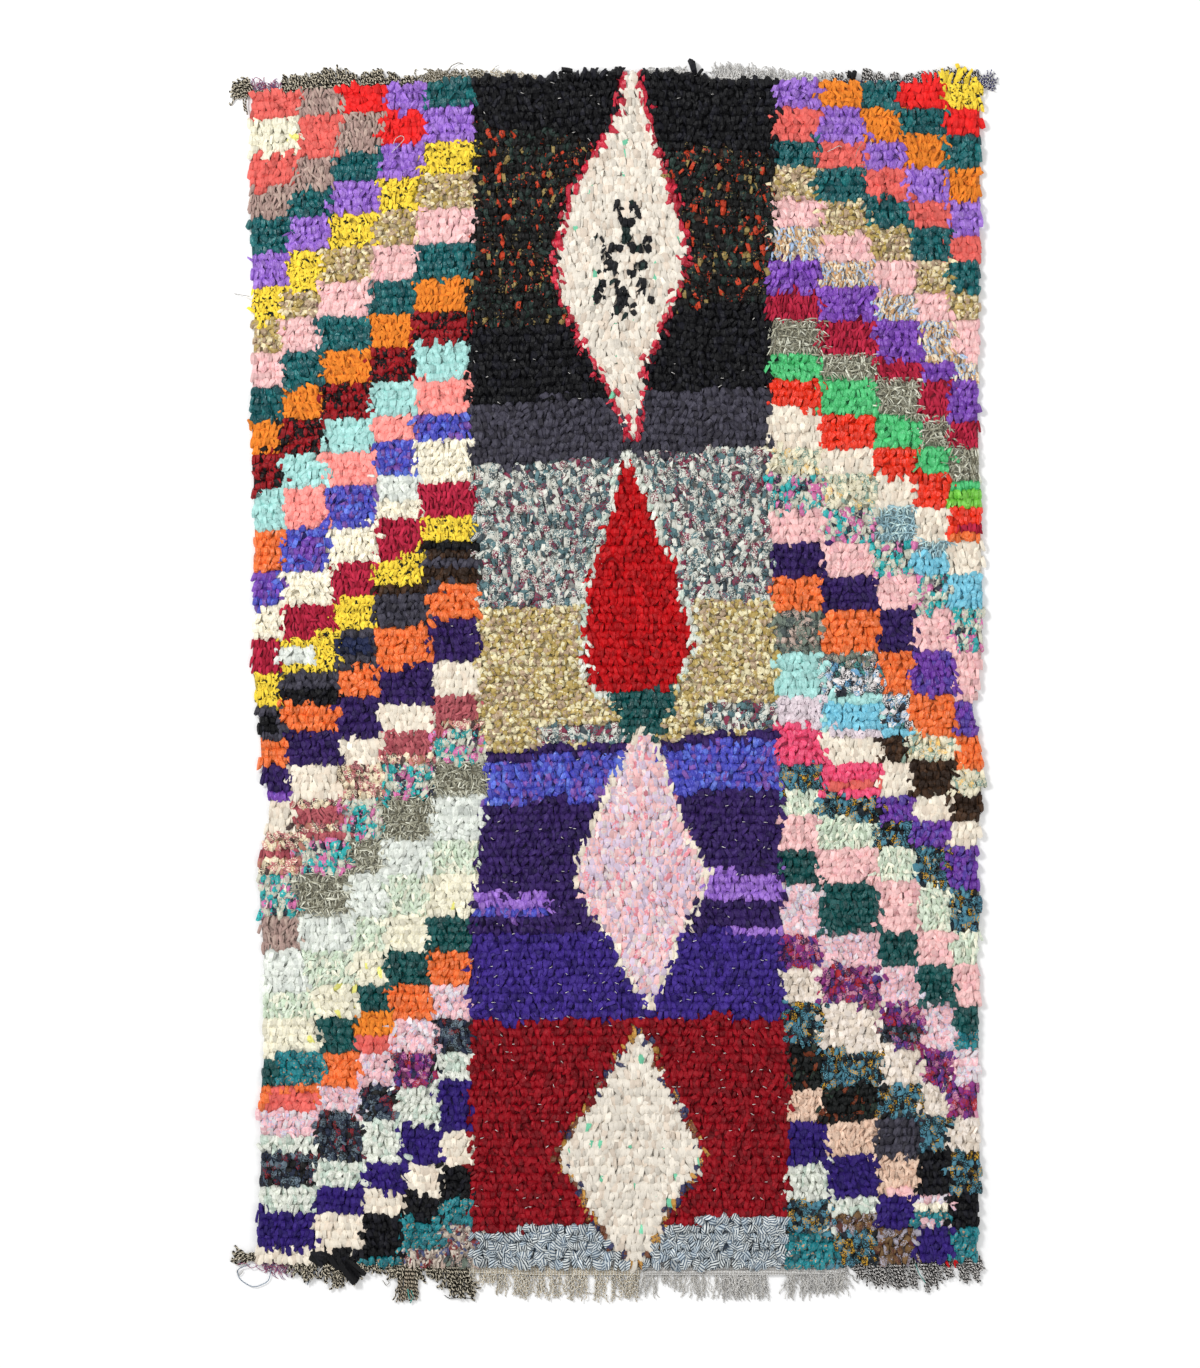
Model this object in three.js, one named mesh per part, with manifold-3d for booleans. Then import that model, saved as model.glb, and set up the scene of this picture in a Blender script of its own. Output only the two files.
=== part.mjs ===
// Boucherouite rug: rag strips knotted close together on a flat ground weave, with a loose warp fringe at both ends.
// Millimetres, +Z up. The rug lies flat: its underside is at z = 0, its length runs along Y, and the origin is under its middle.
import * as THREE from "three";
import { mergeVertices } from "three/addons/utils/BufferGeometryUtils.js";
import Module from "manifold-3d";

const wasm = await Module();
wasm.setup();

const PILE_HEIGHT = 17; // mean height of the lying rag tufts above the floor
const PILE_SWELL = 5; // rise and fall between patches of thick and thin rag
const PATCH_WIDTH = 67; // one patch of the stepped side panels, across the rug
const PATCH_LENGTH = 59; // the same patch along the rug
const RIM_HEIGHT = 9; // height of the pile where it turns down at the edge
const RIM_ROLL = 14; // distance over which the pile rises from the rim
const COLUMNS = 42; // stations of the pile surface across the rug
const ROWS = 66; // stations along it
const RIM_PACKING = 0.7; // how much closer the stations stand at the rim than their mean

const LOCKS_A_SIDE = 48; // rag locks that stick out along each long edge
const LOCK_REACH = 10; // how far a lock stands out of the edge
const LOCK_WIDTH = 17;
const LOCK_HEIGHT = 8;

const HEADING_GAP = 0.6; // slit between the pile's end and the fringe's heading
const HEADING_WIDTH = 6; // flat-woven strip that holds the warps
const YARN_WIDTH = 5.6; // a warp end where it leaves the heading
const YARN_TIP_WIDTH = 3;
const YARN_HEIGHT = 3; // thickness of the lying warps and of the heading
const WARP_STEPS = 3; // straight steps in which a warp curls
const YARN_WANDER = 3; // degrees by which neighbouring warps differ in direction

// Long edges: x of the left and right edge at stations y along the rug.
const SIDES = [
  { y: 1030, left: -645, right: 648 },
  { y: 984, left: -649, right: 646 },
  { y: 809, left: -649, right: 646 },
  { y: 634, left: -642, right: 644 },
  { y: 459, left: -647, right: 642 },
  { y: 284, left: -642, right: 646 },
  { y: 109, left: -640, right: 651 },
  { y: 21, left: -647, right: 649 },
  { y: -67, left: -634, right: 632 },
  { y: -154, left: -630, right: 650 },
  { y: -241, left: -612, right: 648 },
  { y: -329, left: -633, right: 638 },
  { y: -416, left: -632, right: 647 },
  { y: -504, left: -625, right: 641 },
  { y: -679, left: -625, right: 644 },
  { y: -766, left: -633, right: 641 },
  { y: -854, left: -630, right: 646 },
  { y: -1040, left: -638, right: 640 },
];

// Short edges: y of the top and bottom end of the pile at stations x across the rug.
const ENDS = [
  { x: -645, top: 1012, bottom: -1026 },
  { x: -544, top: 1018, bottom: -1026 },
  { x: -474, top: 1022, bottom: -1028 },
  { x: -378, top: 1029, bottom: -1041 },
  { x: -255, top: 1036, bottom: -1046 },
  { x: -133, top: 1041, bottom: -1050 },
  { x: -63, top: 1050, bottom: -1050 },
  { x: 42, top: 1052, bottom: -1050 },
  { x: 130, top: 1047, bottom: -1050 },
  { x: 168, top: 1037, bottom: -1050 },
  { x: 270, top: 1034, bottom: -1050 },
  { x: 380, top: 1032, bottom: -1048 },
  { x: 445, top: 1031, bottom: -1037 },
  { x: 648, top: 1030, bottom: -1031 },
];

// Fringes: side is +1 at the top end and -1 at the bottom end, from is where the heading starts.
// Each clump of warps runs on to x = to. Its longest warp has the length reach and leans by lean degrees, + towards +X.
const FRINGES = [
  {
    name: "fringe_top_brown_marl",
    yarn: "brown_marl_yarn",
    side: 1,
    from: -655,
    clumps: [
      { to: -637, reach: 40, lean: -48, warps: 1 },
      { to: -613, reach: 44, lean: -26, warps: 2 },
      { to: -590, reach: 36, lean: -8, warps: 2 },
      { to: -500, reach: 34, lean: 3, warps: 7 },
      { to: -440, reach: 31, lean: 5, warps: 5 },
      { to: -362, reach: 26, lean: 0, warps: 6 },
      { to: -340, reach: 16, lean: 2, warps: 2 },
      { to: -256, reach: 24, lean: 6, warps: 7 },
    ],
  },
  {
    name: "fringe_top_beige",
    yarn: "beige_yarn",
    side: 1,
    from: -254,
    clumps: [
      { to: -180, reach: 20, lean: 4, warps: 6 },
      { to: -132, reach: 13, lean: 10, warps: 4 },
    ],
  },
  {
    name: "fringe_top_light_grey",
    yarn: "light_grey_yarn",
    side: 1,
    from: 48,
    clumps: [
      { to: 122, reach: 12, lean: 0, warps: 6 },
      { to: 168, reach: 16, lean: 24, warps: 2 },
      { to: 270, reach: 30, lean: 3, warps: 8 },
      { to: 378, reach: 24, lean: 3, warps: 9 },
    ],
  },
  {
    name: "fringe_top_black_marl",
    yarn: "black_marl_yarn",
    side: 1,
    from: 380,
    clumps: [
      { to: 450, reach: 22, lean: 2, warps: 5 },
      { to: 530, reach: 29, lean: 4, warps: 7 },
      { to: 590, reach: 36, lean: 4, warps: 5 },
      { to: 622, reach: 33, lean: 10, warps: 3 },
      { to: 646, reach: 38, lean: 48, warps: 2 },
    ],
  },
  {
    name: "fringe_bottom_brown_marl",
    yarn: "brown_marl_yarn",
    side: -1,
    from: -652,
    clumps: [
      { to: -636, reach: 54, lean: -62, warps: 1 },
      { to: -616, reach: 34, lean: -36, warps: 1 },
      { to: -600, reach: 30, lean: -10, warps: 1 },
      { to: -566, reach: 44, lean: 4, warps: 3 },
      { to: -548, reach: 26, lean: 2, warps: 1 },
      { to: -468, reach: 50, lean: -4, warps: 7 },
      { to: -404, reach: 20, lean: 4, warps: 5 },
      { to: -384, reach: 30, lean: 2, warps: 1 },
      { to: -346, reach: 64, lean: 0, warps: 4 },
      { to: -306, reach: 26, lean: 4, warps: 3 },
      { to: -256, reach: 54, lean: 2, warps: 5 },
    ],
  },
  {
    name: "fringe_bottom_beige",
    yarn: "beige_yarn",
    side: -1,
    from: -254,
    clumps: [
      { to: -240, reach: 42, lean: -4, warps: 1 },
      { to: -208, reach: 24, lean: 0, warps: 2 },
      { to: -96, reach: 45, lean: 2, warps: 9 },
      { to: 44, reach: 48, lean: 0, warps: 11 },
    ],
  },
  {
    name: "fringe_bottom_light_grey",
    yarn: "light_grey_yarn",
    side: -1,
    from: 46,
    clumps: [
      { to: 144, reach: 50, lean: 0, warps: 8 },
      { to: 264, reach: 48, lean: 2, warps: 9 },
      { to: 300, reach: 8, lean: 0, warps: 2 },
      { to: 408, reach: 47, lean: -1, warps: 9 },
    ],
  },
  {
    name: "fringe_bottom_black_marl",
    yarn: "black_marl_yarn",
    side: -1,
    from: 412,
    clumps: [
      { to: 436, reach: 22, lean: 2, warps: 2 },
      { to: 508, reach: 50, lean: 14, warps: 5 },
      { to: 566, reach: 46, lean: 16, warps: 4 },
      { to: 598, reach: 30, lean: 18, warps: 2 },
      { to: 640, reach: 44, lean: 24, warps: 3 },
    ],
  },
];

// A repeatable random number between -1 and 1.
let seed = 20260;
function chance() {
  seed = (seed * 16807) % 2147483647;
  return (2 * seed) / 2147483647 - 1;
}

// The value of one column of a table at a place along it, straight between its rows.
function readAt(rows, along, place, column) {
  const ordered = [...rows].sort((a, b) => a[along] - b[along]);
  const inside = THREE.MathUtils.clamp(place, ordered[0][along], ordered.at(-1)[along]);
  const next = Math.max(1, ordered.findIndex((row) => row[along] >= inside));
  const low = ordered[next - 1];
  const high = ordered[next];
  const share = (inside - low[along]) / (high[along] - low[along]);
  return THREE.MathUtils.lerp(low[column], high[column], share);
}

// Shares from 0 to 1 that stand closer together at both ends.
function rimPacked(count) {
  return Array.from({ length: count + 1 }, (_, i) => {
    const t = i / count;
    return t - (RIM_PACKING * Math.sin(2 * Math.PI * t)) / (2 * Math.PI);
  });
}

// The place on the floor under the share u across the rug and v along it.
function placeAt(u, v) {
  const level = THREE.MathUtils.lerp(SIDES.at(-1).y, SIDES[0].y, v);
  const x = THREE.MathUtils.lerp(readAt(SIDES, "y", level, "left"), readAt(SIDES, "y", level, "right"), u);
  const y = THREE.MathUtils.lerp(readAt(ENDS, "x", x, "bottom"), readAt(ENDS, "x", x, "top"), v);
  return new THREE.Vector2(x, y);
}

// Height of the pile: patches swell and sink against one another, and the whole rolls down to the rim.
function pileHeight({ x, y }, fromRim) {
  const patches = Math.sin((Math.PI * x) / PATCH_WIDTH) * Math.sin((Math.PI * (y + 0.4 * x)) / PATCH_LENGTH);
  const slow = Math.sin(x / 173 + 1) * Math.cos(y / 241);
  const full = PILE_HEIGHT + PILE_SWELL * (0.75 * patches + 0.25 * slow);
  return RIM_HEIGHT + (full - RIM_HEIGHT) * (1 - Math.exp(-fromRim / RIM_ROLL));
}

function solidFrom(geometry) {
  const bare = new THREE.BufferGeometry();
  bare.setAttribute("position", geometry.getAttribute("position"));
  bare.setIndex(geometry.getIndex());
  const merged = mergeVertices(bare, 1e-3);
  const vertProperties = merged.getAttribute("position").array;
  const triVerts = new Uint32Array(merged.getIndex().array);
  return new wasm.Manifold(new wasm.Mesh({ numProp: 3, vertProperties, triVerts }));
}

function geometryFrom(solid) {
  const { numProp, vertProperties, triVerts } = solid.getMesh();
  const geometry = new THREE.BufferGeometry();
  geometry.setAttribute("position", new THREE.BufferAttribute(vertProperties, numProp));
  geometry.setIndex(new THREE.BufferAttribute(triVerts, 1));
  geometry.computeVertexNormals();
  return geometry;
}

function geometryOf(points, faces) {
  const geometry = new THREE.BufferGeometry();
  geometry.setAttribute("position", new THREE.Float32BufferAttribute(points, 3));
  geometry.setIndex(faces);
  return geometry;
}

// The pile as one slab: a lumpy grid on top, a wall round the rim and a flat underside.
function pileSlab() {
  const across = rimPacked(COLUMNS);
  const lengthwise = rimPacked(ROWS);
  const points = [];
  for (const v of lengthwise) {
    for (const u of across) {
      const place = placeAt(u, v);
      const width = SIDES[0].right - SIDES[0].left;
      const length = SIDES[0].y - SIDES.at(-1).y;
      const fromRim = Math.min(u * width, (1 - u) * width, v * length, (1 - v) * length);
      points.push(place.x, place.y, pileHeight(place, fromRim));
    }
  }
  const vertex = (column, row) => row * (COLUMNS + 1) + column;
  const faces = [];
  for (let row = 0; row < ROWS; row++) {
    for (let column = 0; column < COLUMNS; column++) {
      const [a, b] = [vertex(column, row), vertex(column + 1, row)];
      const [c, d] = [vertex(column + 1, row + 1), vertex(column, row + 1)];
      faces.push(a, b, c, a, c, d);
    }
  }
  const rim = [];
  for (let column = 0; column < COLUMNS; column++) rim.push(vertex(column, 0));
  for (let row = 0; row < ROWS; row++) rim.push(vertex(COLUMNS, row));
  for (let column = COLUMNS; column > 0; column--) rim.push(vertex(column, ROWS));
  for (let row = ROWS; row > 0; row--) rim.push(vertex(0, row));
  const foot = points.length / 3;
  const outline = rim.map((i) => new THREE.Vector2(points[3 * i], points[3 * i + 1]));
  for (const { x, y } of outline) points.push(x, y, 0);
  rim.forEach((top, i) => {
    const next = (i + 1) % rim.length;
    faces.push(top, foot + i, foot + next, top, foot + next, rim[next]);
  });
  for (const [a, b, c] of THREE.ShapeUtils.triangulateShape(outline, [])) {
    faces.push(foot + c, foot + b, foot + a);
  }
  return geometryOf(points, faces);
}

// A lock of rag or yarn lying on the floor: a three-sided section along a path, narrowing to its tip.
function lockAlong(path, rootWidth, tipWidth, height) {
  const points = [];
  path.forEach((place, i) => {
    const before = path[Math.max(0, i - 1)];
    const after = path[Math.min(path.length - 1, i + 1)];
    const square = after.clone().sub(before).normalize().rotateAround(new THREE.Vector2(), Math.PI / 2);
    const share = i / (path.length - 1);
    const half = THREE.MathUtils.lerp(rootWidth, tipWidth, share) / 2;
    const ridge = height * THREE.MathUtils.lerp(1, 0.6, share);
    points.push(place.x + square.x * half, place.y + square.y * half, 0);
    points.push(place.x - square.x * half, place.y - square.y * half, 0);
    points.push(place.x, place.y, ridge);
  });
  const faces = [0, 1, 2];
  for (let i = 0; i < path.length - 1; i++) {
    for (let k = 0; k < 3; k++) {
      const [a, b] = [3 * i + k, 3 * i + ((k + 1) % 3)];
      faces.push(a, b + 3, b, a, a + 3, b + 3);
    }
  }
  const last = 3 * (path.length - 1);
  faces.push(last, last + 2, last + 1);
  return geometryOf(points, faces);
}

// A path of the given length from a root, heading at a bearing in degrees from +Y towards +X and curling a little.
function curlingPath(root, bearing, length, curl, steps) {
  const path = [root.clone()];
  for (let i = 0; i < steps; i++) {
    const turn = THREE.MathUtils.degToRad(bearing + curl * (i - (steps - 1) / 2));
    const step = new THREE.Vector2(Math.sin(turn), Math.cos(turn)).multiplyScalar(length / steps);
    path.push(path.at(-1).clone().add(step));
  }
  return path;
}

// Rag locks along both long edges, rooted in the pile.
function rimLocks() {
  const locks = [];
  for (const [u, bearing] of [[0, -90], [1, 90]]) {
    for (let i = 0; i < LOCKS_A_SIDE; i++) {
      const v = 0.03 + (0.94 * (i + 0.5 + 0.25 * chance())) / LOCKS_A_SIDE;
      const edge = placeAt(u, v);
      const root = new THREE.Vector2(edge.x + (u === 0 ? 10 : -10), edge.y);
      const length = 10 + LOCK_REACH * (0.75 + 0.25 * chance());
      const path = curlingPath(root, bearing + 16 * chance(), length, 8 * chance(), 2);
      locks.push(lockAlong(path, LOCK_WIDTH, 0.45 * LOCK_WIDTH, LOCK_HEIGHT));
    }
  }
  return locks;
}

// The end of the pile as its slab draws it, one point for each station across the rug.
function pileEnd(side) {
  return rimPacked(COLUMNS).map((u) => placeAt(u, side > 0 ? 1 : 0));
}

// One warp in plan, from the near side of its root round its tip to the far side, read in the direction of +X.
function warpOutline(root, side, bearing, length) {
  const path = curlingPath(root, bearing, length, 5 * chance(), WARP_STEPS);
  const away = path.at(-1).clone().sub(root).normalize();
  const backward = away.rotateAround(new THREE.Vector2(), (side * Math.PI) / 2);
  const half = (i) => THREE.MathUtils.lerp(YARN_WIDTH, YARN_TIP_WIDTH, i / WARP_STEPS) / 2;
  const flank = (sign) => path.map((place, i) => place.clone().addScaledVector(backward, sign * half(i))).slice(1);
  const foot = new THREE.Vector2(half(0), 0);
  return [root.clone().sub(foot), ...flank(1), ...flank(-1).reverse(), root.clone().add(foot)];
}

// One fringe in plan: the heading follows the end of the pile at a small slit, and the warps stand out of its far edge.
function fringeOutline({ side, from, clumps }) {
  const end = pileEnd(side);
  const last = clumps.at(-1).to;
  const edgeAt = (x, off) => new THREE.Vector2(x, readAt(end, "x", x, "y") + side * off);
  const stations = [from, ...end.map((place) => place.x).filter((x) => x > from + 1 && x < last - 1), last];
  const near = stations.map((x) => edgeAt(x, HEADING_GAP));
  const far = [edgeAt(from, HEADING_GAP + HEADING_WIDTH)];
  let start = from;
  for (const { to, reach, lean, warps } of clumps) {
    for (let i = 0; i < warps; i++) {
      const x = THREE.MathUtils.lerp(start, to, (i + 0.5) / warps);
      const bearing = (side > 0 ? lean : 180 - lean) + YARN_WANDER * chance();
      const length = reach * (0.9 + 0.1 * chance()) - HEADING_WIDTH;
      far.push(...warpOutline(edgeAt(x, HEADING_GAP + HEADING_WIDTH), side, bearing, length));
    }
    start = to;
  }
  far.push(edgeAt(last, HEADING_GAP + HEADING_WIDTH));
  return new THREE.Shape([...near, ...far.reverse()]);
}

function fuse(geometries) {
  return geometryFrom(geometries.map(solidFrom).reduce((whole, piece) => whole.add(piece)));
}

function material(name, color, roughness) {
  return new THREE.MeshStandardMaterial({ name, color, roughness, metalness: 0 });
}

const YARNS = {
  brown_marl_yarn: material("brown_marl_yarn", 0x5a4f42, 0.95),
  beige_yarn: material("beige_yarn", 0xb9ab97, 0.95),
  light_grey_yarn: material("light_grey_yarn", 0xbdbab4, 0.95),
  black_marl_yarn: material("black_marl_yarn", 0x6a6866, 0.95),
};

const rug = new THREE.Group();
const pile = new THREE.Mesh(fuse([pileSlab(), ...rimLocks()]), material("rag_pile", 0x6b4560, 0.9));
pile.name = "rag_pile";
rug.add(pile);
for (const fringe of FRINGES) {
  const lying = new THREE.ExtrudeGeometry(fringeOutline(fringe), { depth: YARN_HEIGHT, bevelEnabled: false });
  const mesh = new THREE.Mesh(lying, YARNS[fringe.yarn]);
  mesh.name = fringe.name;
  rug.add(mesh);
}

// The middle of the whole outline, fringes included, stands over the origin.
const middle = new THREE.Box3().setFromObject(rug).getCenter(new THREE.Vector3());
rug.position.set(-middle.x, -middle.y, 0);

export default rug;
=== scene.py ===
# %% [markdown]
# A boucherouite is a rag rug. The weaver knots strips cut from worn clothes into a plain
# ground weave, row by row, and leaves the warps loose as a fringe at both ends.
# The measured solids come first, so that every piece is made at its real place and size.

# %% Load the measured model
import bpy
import numpy as np
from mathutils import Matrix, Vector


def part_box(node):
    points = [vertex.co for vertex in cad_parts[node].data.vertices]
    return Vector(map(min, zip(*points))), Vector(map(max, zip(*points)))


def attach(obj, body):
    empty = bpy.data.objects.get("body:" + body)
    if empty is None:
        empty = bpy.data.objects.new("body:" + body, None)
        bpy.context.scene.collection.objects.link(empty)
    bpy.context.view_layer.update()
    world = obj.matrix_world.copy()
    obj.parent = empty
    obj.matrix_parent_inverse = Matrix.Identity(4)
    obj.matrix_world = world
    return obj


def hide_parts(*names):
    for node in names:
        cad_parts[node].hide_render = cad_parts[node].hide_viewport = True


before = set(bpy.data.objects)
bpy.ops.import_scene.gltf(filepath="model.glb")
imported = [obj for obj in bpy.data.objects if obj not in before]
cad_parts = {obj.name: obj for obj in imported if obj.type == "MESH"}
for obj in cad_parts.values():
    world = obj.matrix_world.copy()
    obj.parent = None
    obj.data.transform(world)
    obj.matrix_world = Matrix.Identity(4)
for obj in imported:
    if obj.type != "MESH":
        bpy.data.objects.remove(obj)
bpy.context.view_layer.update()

MM = 0.001


def table(text):
    """Rows of numbers as an array, from text with a comma after each row."""
    return np.array([row.split() for row in text.split(",")], float)


# %% [markdown]
# The rug's outline wanders, as the tension of a hand loom does. The long edges were measured at
# even stations, and the table keeps some of those. Lengths in these tables are in millimetres
# from the middle of the loom, and `shift` carries them to where the solids stand.

# %% The outline and the knot grid
# y, left edge, right edge
SIDES = table("""
    -1040 -638 640, -854 -630 646, -766 -633 641, -679 -625 644, -504 -625 641, -416 -632 647,
    -329 -633 638, -241 -612 648, -154 -630 650, -67 -634 632, 21 -647 649, 109 -640 651, 284 -642 646,
    459 -647 642, 634 -642 644, 809 -649 646, 984 -649 646, 1030 -645 648""")
# x, top end, bottom end, where the pile stops above the bottom heading
ENDS = table("""
    -645 1012 -1026 -1028, -544 1018 -1026 -1030, -474 1022 -1028 -1032, -378 1029 -1041 -1035,
    -255 1036 -1046 -1038, -133 1041 -1050 -1039, -63 1050 -1050 -1039, 42 1052 -1050 -1039,
    130 1047 -1050 -1039, 168 1037 -1050 -1039, 270 1034 -1050 -1039, 380 1032 -1048 -1039,
    445 1031 -1037 -1032, 648 1030 -1031 -1026""")
BEIGE_LEFT = -254  # x of the left side of the top beige fringe
BEIGE_INNER = -1046.7  # y of the inner edge of the bottom one
shift = np.array([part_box("fringe_top_beige")[0].x / MM - BEIGE_LEFT,
                  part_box("fringe_bottom_beige")[1].y / MM - BEIGE_INNER])


def lay(u, v):
    """Place on the floor under the share u across and v along: x lies between the side edges at
    that height, and y between the ends at that x."""
    foot, head = SIDES[[0, -1], 0]
    level = foot + (head - foot) * v
    x = (1 - u) * np.interp(level, *SIDES.T[[0, 1]]) + u * np.interp(level, *SIDES.T[[0, 2]])
    y = (1 - v) * np.interp(x, *ENDS.T[[0, 3]]) + v * np.interp(x, *ENDS.T[[0, 1]])
    return x, y


chance = np.random.default_rng(41)
KNOTS_ACROSS, KNOT_ROWS = 160, 139
SELVEDGE = 0.009  # share of the width that has no knots, at each side
STAGGER, DRIFT_ACROSS, DRIFT_ALONG = 0.25, 0.15, 0.12  # of the distance between knots
column, row = [a.ravel() for a in np.meshgrid(np.arange(KNOTS_ACROSS), np.arange(KNOT_ROWS))]
place = column + 0.5 + STAGGER * (-1.0) ** row + chance.uniform(-DRIFT_ACROSS, DRIFT_ACROSS, row.size)
knot_u = SELVEDGE + (1 - 2 * SELVEDGE) * place / KNOTS_ACROSS
knot_v = (row + 0.5 + chance.uniform(-DRIFT_ALONG, DRIFT_ALONG, row.size)) / KNOT_ROWS
knot_x, knot_y = lay(knot_u, knot_v)
print("shift", shift.round(1), "knots", row.size)

# %% [markdown]
# Each rag has its own look: plain dyed cloth, prints cut so small that only flecks of their
# colours are left, curling jersey, soft wool. A table of cloths keeps them in one place. A
# cloth has a way it is cut, the share of its face that a print covers, and its colours, each as
# its weight, red, green and blue, as the eye sees them (0 to 255). A second list holds colours
# of the print alone.

# %% The cloths
CLOTH_LIST = """
coral|broad|0|1 221 101 93
taupe|jersey|0|1 165 139 131, .5 181 158 147
red|broad|0|1 228 36 35
lilac|crisp|0|1 155 111 204, .4 140 94 193
teal|crisp|0|2 8 90 94, 1 4 73 78, .6 21 110 112
yellow spots|fine|.3|1 243 212 68|1 26 30 30
cream flecks|broad|.1|20 231 226 204, .5 226 222 121
khaki|tossed|.35|2.2 177 154 94, 2 223 208 170, 3 175 151 125|1 179 156 79, 1 227 215 178
pink|broad|0|1 236 191 189, .3 230 179 181
orange|fine|0|1 231 132 45
red black|matt|.35|1.5 146 21 29, 1 16 14 15|1 146 21 29, 1 16 14 15
mint|broad|0|1 167 215 210
coral pink|broad|0|1 249 153 145
royal|crisp|.2|3 71 74 183, 1 92 113 212, 1 116 74 159
pale yellow|crisp|.1|1 244 236 214
crimson|jersey|0|1 179 39 66, .5 150 25 48
brown|matt|.2|1 43 28 18, .5 69 46 29
charcoal|matt|0|1 65 63 75, .5 49 47 56
red orange|crisp|0|1 235 114 52
purple|matt|0|1 53 32 93, .5 39 23 73
cream|wool|0|1 231 221 204, .5 221 207 189
ecru|broad|0|1 218 205 190, 1 232 221 210
rose|fine|0|5 176 92 98, 2 150 70 78
teal print|crisp|.3|2 38 169 169, 1.4 210 113 166, 3 203 202 185, .7 38 41 60
grey khaki|wiry|.3|2 164 162 143, 1 218 218 201, 1 115 111 94
white|broad|0|2 223 227 219, 1 210 215 208
pale green|fine|.3|2 212 223 204, 1 195 211 187, 1 236 235 214
dark teal|crisp|0|1 6 78 77, .4 5 61 61
pink lilac|broad|.4|2 228 180 186, 1 217 210 215|1 194 184 211, 1 234 203 203
blue print|print|.6|2 33 42 64, 1.5 97 113 124, 2 19 19 19, .6 126 31 40
mint white|crisp|.2|1 222 225 214, .4 196 211 198
indigo|matt|0|1 48 28 110, .4 36 21 91
turquoise|crisp|.3|2 26 130 139, 1 14 102 112|1 188 142 105, 1 11 79 90
beige mix|fine|.5|3 160 146 134, 1 140 66 66, .7 84 84 122, 1 206 194 180|
 2 206 192 178, 1 96 60 62, 1 84 96 130
scarlet|crisp|0|1 229 50 21
green|crisp|0|1 77 192 118
lime|crisp|0|1 122 204 72
sky|crisp|.1|1 120 195 217
pale mix|print|.5|3 224 217 191, 1 139 166 152, .4 234 193 117
pale lilac|broad|.2|4 220 206 212|1 120 112 126
hot pink|crisp|0|1 234 77 118
blue yellow|print|.5|2 18 35 48, 3 74 128 149, 2 9 9 11|1.6 197 151 40, 2 79 137 152, 2 9 9 11
magenta print|print|.5|2 129 43 117, 1 72 51 126, 1 164 34 44, 1 192 129 153, .7 42 40 71
black|matt|0|3 7 7 11, 1 21 21 29
black mix|matt|.3|6 11 14 14, .7 106 48 25, 1 36 50 41
peach|fine|0|1 227 196 174, .5 217 182 159
gold brown|print|.5|3 117 89 56, 1 87 44 37, 2 164 159 171, 1 69 48 37
blue tan|jersey|.6|1 195 155 112, 1 164 186 215, 1 233 217 190
green grey|print|.5|2 113 125 113, 1 69 78 78, 1 183 161 149
black flecks|matt|.3|9 16 16 16, 2.4 35 51 46, 1 187 62 35, .5 147 126 75|
 5 16 16 16, 1 177 59 35, 1 131 114 72, 1 42 64 56
speckle|print|.5|3 212 212 202, 2 86 117 122, 1 127 48 72, 1 63 74 80
khaki mix|tossed|.35|2.2 180 157 95, 2.4 227 217 178, 2.4 178 155 129|1 174 151 75, 1 231 221 182
violet|matt|0|6 62 41 132, 3 45 28 104
crimson field|matt|0|6 144 6 23, 3 114 3 16
blue grey|cord|1|3 211 216 215, 1 187 198 204|2 83 100 119, 1 43 55 69
mottled pink|wool|.4|2 231 185 185, 2 204 187 206, .5 222 138 150, 1 222 208 206
diamond cream|wool|0|40 224 216 203, 12 216 202 186, 1 116 199 162
figure black|matt|0|3 22 23 27, 1 22 40 38
diamond red|matt|0|1 187 8 17, .6 162 6 14
wine|crisp|0|1 196 32 58, .5 160 22 44
ink print|print|.5|2 228 222 221, 1.4 31 34 43, 1 100 152 187, .6 66 131 126
bright purple|crisp|.1|1 105 52 156, .5 84 61 154
rose speckle|print|.5|3 188 116 118, .6 84 64 60, 1.6 226 208 176|1.4 60 48 48, 3 240 228 200, 1 170 130 90
navy|matt|0|2 34 42 74, 1 24 28 44
orchid|crisp|0|2 118 66 172, 1 92 60 160
dusty blue|wiry|.3|2 157 189 198, 1 201 225 221, 1 123 158 170
deep lilac|crisp|0|1 129 75 182, .5 109 59 161
ochre navy|crisp|.8|1 190 140 60, 1 40 44 84, 1 110 62 36
"""


def cloth_table(text):
    """Cloths by name, from a line each: the way it is cut, the print's share, the colours, and the
    print's colours, which are the cloth's own where it has no second list."""
    cloths = {}
    for line in text.strip().replace("\n ", "").split("\n"):
        name, cut, share, *lists = line.split("|")
        dyes = [[[float(value) for value in dye.split()] for dye in one.split(",")] for one in lists]
        cloths[name] = (cut, float(share), dyes[0], dyes[-1])
    return cloths


CLOTHS = cloth_table(CLOTH_LIST)
NAMES = list(CLOTHS)
ID = {name: i for i, name in enumerate(NAMES)}
print(len(NAMES), "cloths")

# %% [markdown]
# The side panels are stepped checks: each row of blocks repeats the one above, moved one
# column on, so a cloth runs down the panel as a diagonal. So one list of cloths and the
# rule "next row, next cloth" gives the whole panel, with a few blocks the weaver changed.

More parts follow.
